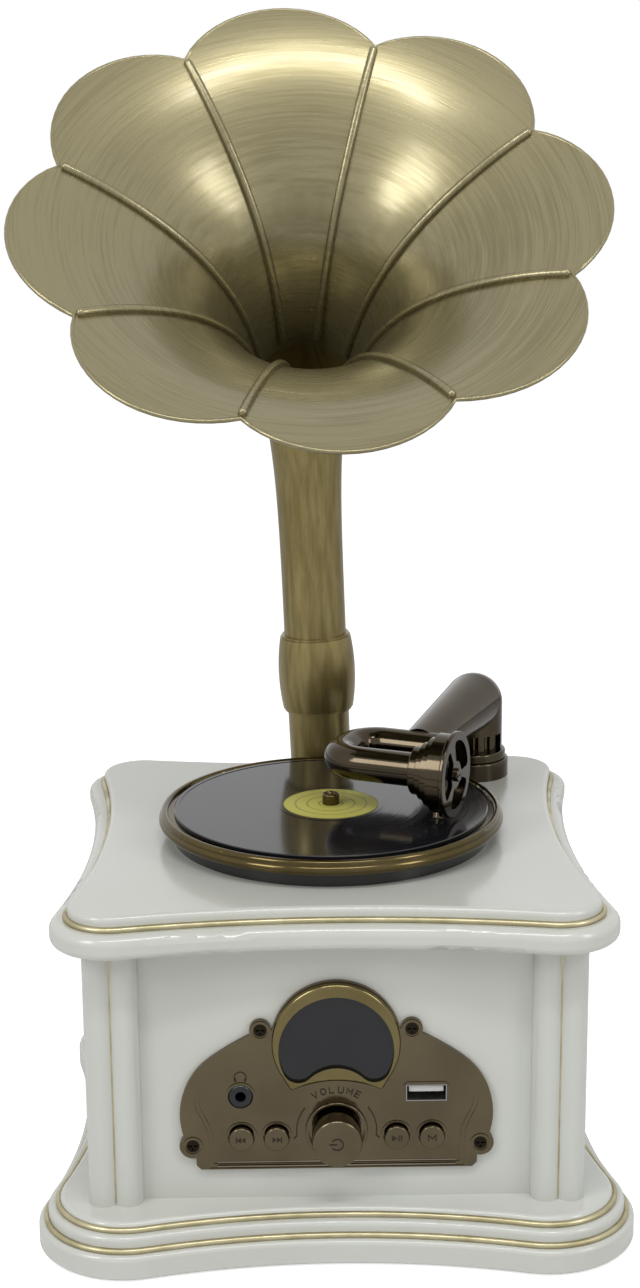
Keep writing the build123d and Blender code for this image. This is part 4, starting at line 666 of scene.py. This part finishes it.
def makeHeadphoneMark():  # a band over two ear pads, above the socket
    near, far = front["field"] - front["sink"], front["field"] + front["rise"]
    u, v = headphoneMark["centre"]
    bm = bmesh.new()
    start, sweep = headphoneMark["sweep"]
    band = arc((u, v), headphoneMark["radius"], start, sweep, headphoneMark["steps"])
    ribbon(bm, band, headphoneMark["stroke"], near, far)
    low, high = headphoneMark["padEnds"]
    for way in (-1, 1):
        pad = u + way * headphoneMark["padReach"]
        ends = [(pad, v + low), (pad + way * headphoneMark["padLean"], v + high)]
        ribbon(bm, ends, headphoneMark["padStroke"], near, far)
    finish("headphoneMark", bm, paintedShadeMarks, "cabinet")


petals = {
    "count": 8,
    "cusp": 87.0,  # radius where two petals meet
    "tip": 99.5,
    "turn": 5.3,  # degrees
    "hem": 0.75,
    "steps": 18,
    "section": 8,
}
bell = {  # the log flare of the solids, in millimetres
    "asymptote": 11.5,
    "spread": 75.5,
    "decay": 30.0,
    "curl": 2.6,
    "curlStart": 70.0,
    "curlReach": 30.0,
    "wall": 1.2,
}


def bellDepth(radius):
    curl = max(0.0, (radius - bell["curlStart"]) / bell["curlReach"])
    flare = -bell["decay"] * log((radius - bell["asymptote"]) / bell["spread"])
    return flare + bell["curl"] * curl**2


def petalEdge():  # points round the petals' edge in the bell's own frame, in millimetres
    step = 2 * pi / petals["count"]
    cuspAcross = petals["cusp"] * cos(step / 2)
    centre = (petals["tip"] ** 2 - petals["cusp"] ** 2) / (2 * (petals["tip"] - cuspAcross))
    reach = petals["tip"] - centre
    points = []
    for petal in range(petals["count"]):
        for k in range(petals["steps"]):
            part = step * (k / petals["steps"] - 0.5)
            radius = centre * cos(part) + sqrt(reach**2 - (centre * sin(part)) ** 2)
            turn = radians(petals["turn"]) + petal * step + part
            middle = -bellDepth(radius) - bell["wall"] / 2
            points.append(Vector((radius * cos(turn), radius * sin(turn), middle)))
    return points


def makeHem():  # the rolled hem round the petals' edge
    points = petalEdge()
    count, section = len(points), petals["section"]
    bm = bmesh.new()
    rings = []
    for k, point in enumerate(points):
        along = (points[(k + 1) % count] - points[k - 1]).normalized()
        side = along.cross(Vector((0, 0, 1))).normalized()
        rise = side.cross(along)
        ring = []
        for m in range(section):
            turn = 2 * pi * m / section
            spot = point + (side * cos(turn) + rise * sin(turn)) * petals["hem"]
            ring.append(bm.verts.new(bellFrame @ (spot * mm)))
        rings.append(ring)
    for k in range(count):
        here, there = rings[k], rings[(k + 1) % count]
        for m in range(section):
            bm.faces.new((here[m], here[(m + 1) % section], there[(m + 1) % section], there[m]))
    finish("petalHem", bm, bellBrass, "horn", smooth=True)


contacts = {
    "count": 4,
    "pitch": 2.3,
    "width": 1.2,
    "length": 7.4,
    "thick": 0.12,
    "bulge": (1.0, -0.4),  # how far back from the front end, and how deep
    "place": (28.9, -70.9, 53.64),
}


def strip(name, size):  # one contact blade: a thin plate that bulges down near its front end
    bm = bmesh.new()
    width, length, thick = size
    back, deep = contacts["bulge"]
    outline = [(-length / 2, 0.0), (-length / 2 + back, deep), (length / 2, 0.0)]
    rings = []
    for along, rise in outline:
        half, under = width / 2, rise - thick
        corners = [(-half, rise), (half, rise), (half, under), (-half, under)]
        rings.append([bm.verts.new((x * mm, along * mm, z * mm)) for x, z in corners])
    for here, there in zip(rings, rings[1:]):
        for m in range(4):
            bm.faces.new((here[m], here[(m + 1) % 4], there[(m + 1) % 4], there[m]))
    bm.faces.new(rings[0])
    bm.faces.new(list(reversed(rings[-1])))
    bmesh.ops.recalc_face_normals(bm, faces=bm.faces)
    mesh = bpy.data.meshes.new(name)
    bm.to_mesh(mesh)
    bm.free()
    return mesh


def rowTree(name, material):  # a row of copies of the modifier's own mesh, spaced along x
    tree = bpy.data.node_groups.new(name, "GeometryNodeTree")
    tree.is_modifier = True
    face = tree.interface
    face.new_socket("Geometry", in_out="INPUT", socket_type="NodeSocketGeometry")
    face.new_socket("Count", in_out="INPUT", socket_type="NodeSocketInt")
    face.new_socket("Pitch", in_out="INPUT", socket_type="NodeSocketFloat")
    face.new_socket("Start", in_out="INPUT", socket_type="NodeSocketVector")
    face.new_socket("Geometry", in_out="OUTPUT", socket_type="NodeSocketGeometry")
    given = add(tree, "NodeGroupInput")
    step = add(tree, "ShaderNodeCombineXYZ", links={"X": given.outputs["Pitch"]})
    line = add(tree, "GeometryNodeMeshLine", links={"Count": given.outputs["Count"]})
    tree.links.new(given.outputs["Start"], line.inputs["Start Location"])
    tree.links.new(step.outputs["Vector"], line.inputs["Offset"])
    copies = add(tree, "GeometryNodeInstanceOnPoints", links={"Points": line.outputs["Mesh"]})
    tree.links.new(given.outputs["Geometry"], copies.inputs["Instance"])
    spread = {"Geometry": copies.outputs["Instances"]}
    real = add(tree, "GeometryNodeRealizeInstances", links=spread)
    bare = {"Geometry": real.outputs["Geometry"]}
    painted = add(tree, "GeometryNodeSetMaterial", {"Material": material}, bare)
    add(tree, "NodeGroupOutput", links={"Geometry": painted.outputs["Geometry"]})
    return tree


def makeRow(name, mesh, material, values, body):
    seed = bpy.data.objects.new(name + "Seed", mesh)
    scene.collection.objects.link(seed)
    modifier = seed.modifiers.new("row", "NODES")
    modifier.node_group = rowTree(name + "Row", material)
    for item in modifier.node_group.interface.items_tree:
        if item.in_out == "INPUT" and item.name in values:
            modifier[item.identifier] = values[item.name]
    graph = bpy.context.evaluated_depsgraph_get()
    solid = bpy.data.meshes.new_from_object(seed.evaluated_get(graph), depsgraph=graph)
    solid.name = name
    bpy.data.objects.remove(seed)
    return meshPiece(name, solid, material, body, smooth=False)


def makeContacts():
    size = (contacts["width"], contacts["length"], contacts["thick"])
    first = contacts["place"][0] - contacts["pitch"] * (contacts["count"] - 1) / 2
    start = tuple(c * mm for c in (first, *contacts["place"][1:]))
    values = {"Count": contacts["count"], "Pitch": contacts["pitch"] * mm, "Start": start}
    makeRow("usbContacts", strip("contactBlade", size), turnedSteel, values, "cabinet")


makeButtonMarks()
makePowerMark()
makeDialMarks()
makeHeadphoneMark()
makeFieldHighlightLines()
makeHem()
makeContacts()
print("marks, hem and contacts made")


# Floor, world and lamps

studio = {
    "floor": 6.0,
    "floorLift": 0.62,  # glow that keeps the floor white to the camera
    "world": 0.40,  # light on matt surfaces, where glossy ones see full white
    "lamps": [  # place, aim, size, watts
        ((-0.85, -0.75, 0.95), (0, 0, 0.15), (0.40, 0.60), 5.2),
        ((0.85, -0.60, 0.75), (0, 0, 0.15), (0.25, 0.50), 2.4),
        ((0.05, -0.66, 1.40), (0, 0, 0.25), (0.90, 0.12), 6.0),
    ],
}


def makeStage():
    half = studio["floor"] / 2
    mesh = bpy.data.meshes.new("floor")
    corners = [(-half, -half, 0), (half, -half, 0), (half, half, 0), (-half, half, 0)]
    mesh.from_pydata(corners, [], [(0, 1, 2, 3)])
    floor = bpy.data.objects.new("floor", mesh)
    scene.collection.objects.link(floor)
    material, tree, shader = newMaterial("paleFloor", 0.9, 0.0, "#F2F2F2")
    path = add(tree, "ShaderNodeLightPath")
    lift = add(tree, "ShaderNodeMath", {1: studio["floorLift"]}, operation="MULTIPLY")
    tree.links.new(path.outputs["Is Camera Ray"], lift.inputs[0])
    shader.inputs["Emission Color"].default_value = grey(1.0)
    tree.links.new(lift.outputs["Value"], shader.inputs["Emission Strength"])
    mesh.materials.append(material)


def makeWorld():
    world = bpy.data.worlds.new("world")
    world.use_nodes = True
    tree = world.node_tree
    back = tree.nodes["Background"]
    path = add(tree, "ShaderNodeLightPath")
    seen = add(tree, "ShaderNodeMath", operation="MAXIMUM")
    tree.links.new(path.outputs["Is Camera Ray"], seen.inputs[0])
    tree.links.new(path.outputs["Is Glossy Ray"], seen.inputs[1])
    clear = add(tree, "ShaderNodeMath", operation="MAXIMUM")
    tree.links.new(seen.outputs["Value"], clear.inputs[0])
    tree.links.new(path.outputs["Is Transmission Ray"], clear.inputs[1])
    level = add(tree, "ShaderNodeMapRange", {"To Min": studio["world"], "To Max": 1.0})
    tree.links.new(clear.outputs["Value"], level.inputs["Value"])
    back.inputs["Color"].default_value = grey(1.0)
    tree.links.new(level.outputs["Result"], back.inputs["Strength"])
    scene.world = world


def makeLamps():
    for index, (place, aim, size, watts) in enumerate(studio["lamps"]):
        data = bpy.data.lights.new("softbox%d" % index, "AREA")
        data.shape = "RECTANGLE"
        data.size, data.size_y = size
        data.energy = watts
        lamp = bpy.data.objects.new("softbox%d" % index, data)
        scene.collection.objects.link(lamp)
        lamp.location = place
        lamp.rotation_euler = (Vector(aim) - Vector(place)).to_track_quat("-Z", "Y").to_euler()


makeStage()
makeWorld()
makeLamps()
print("floor, world and lamps made")
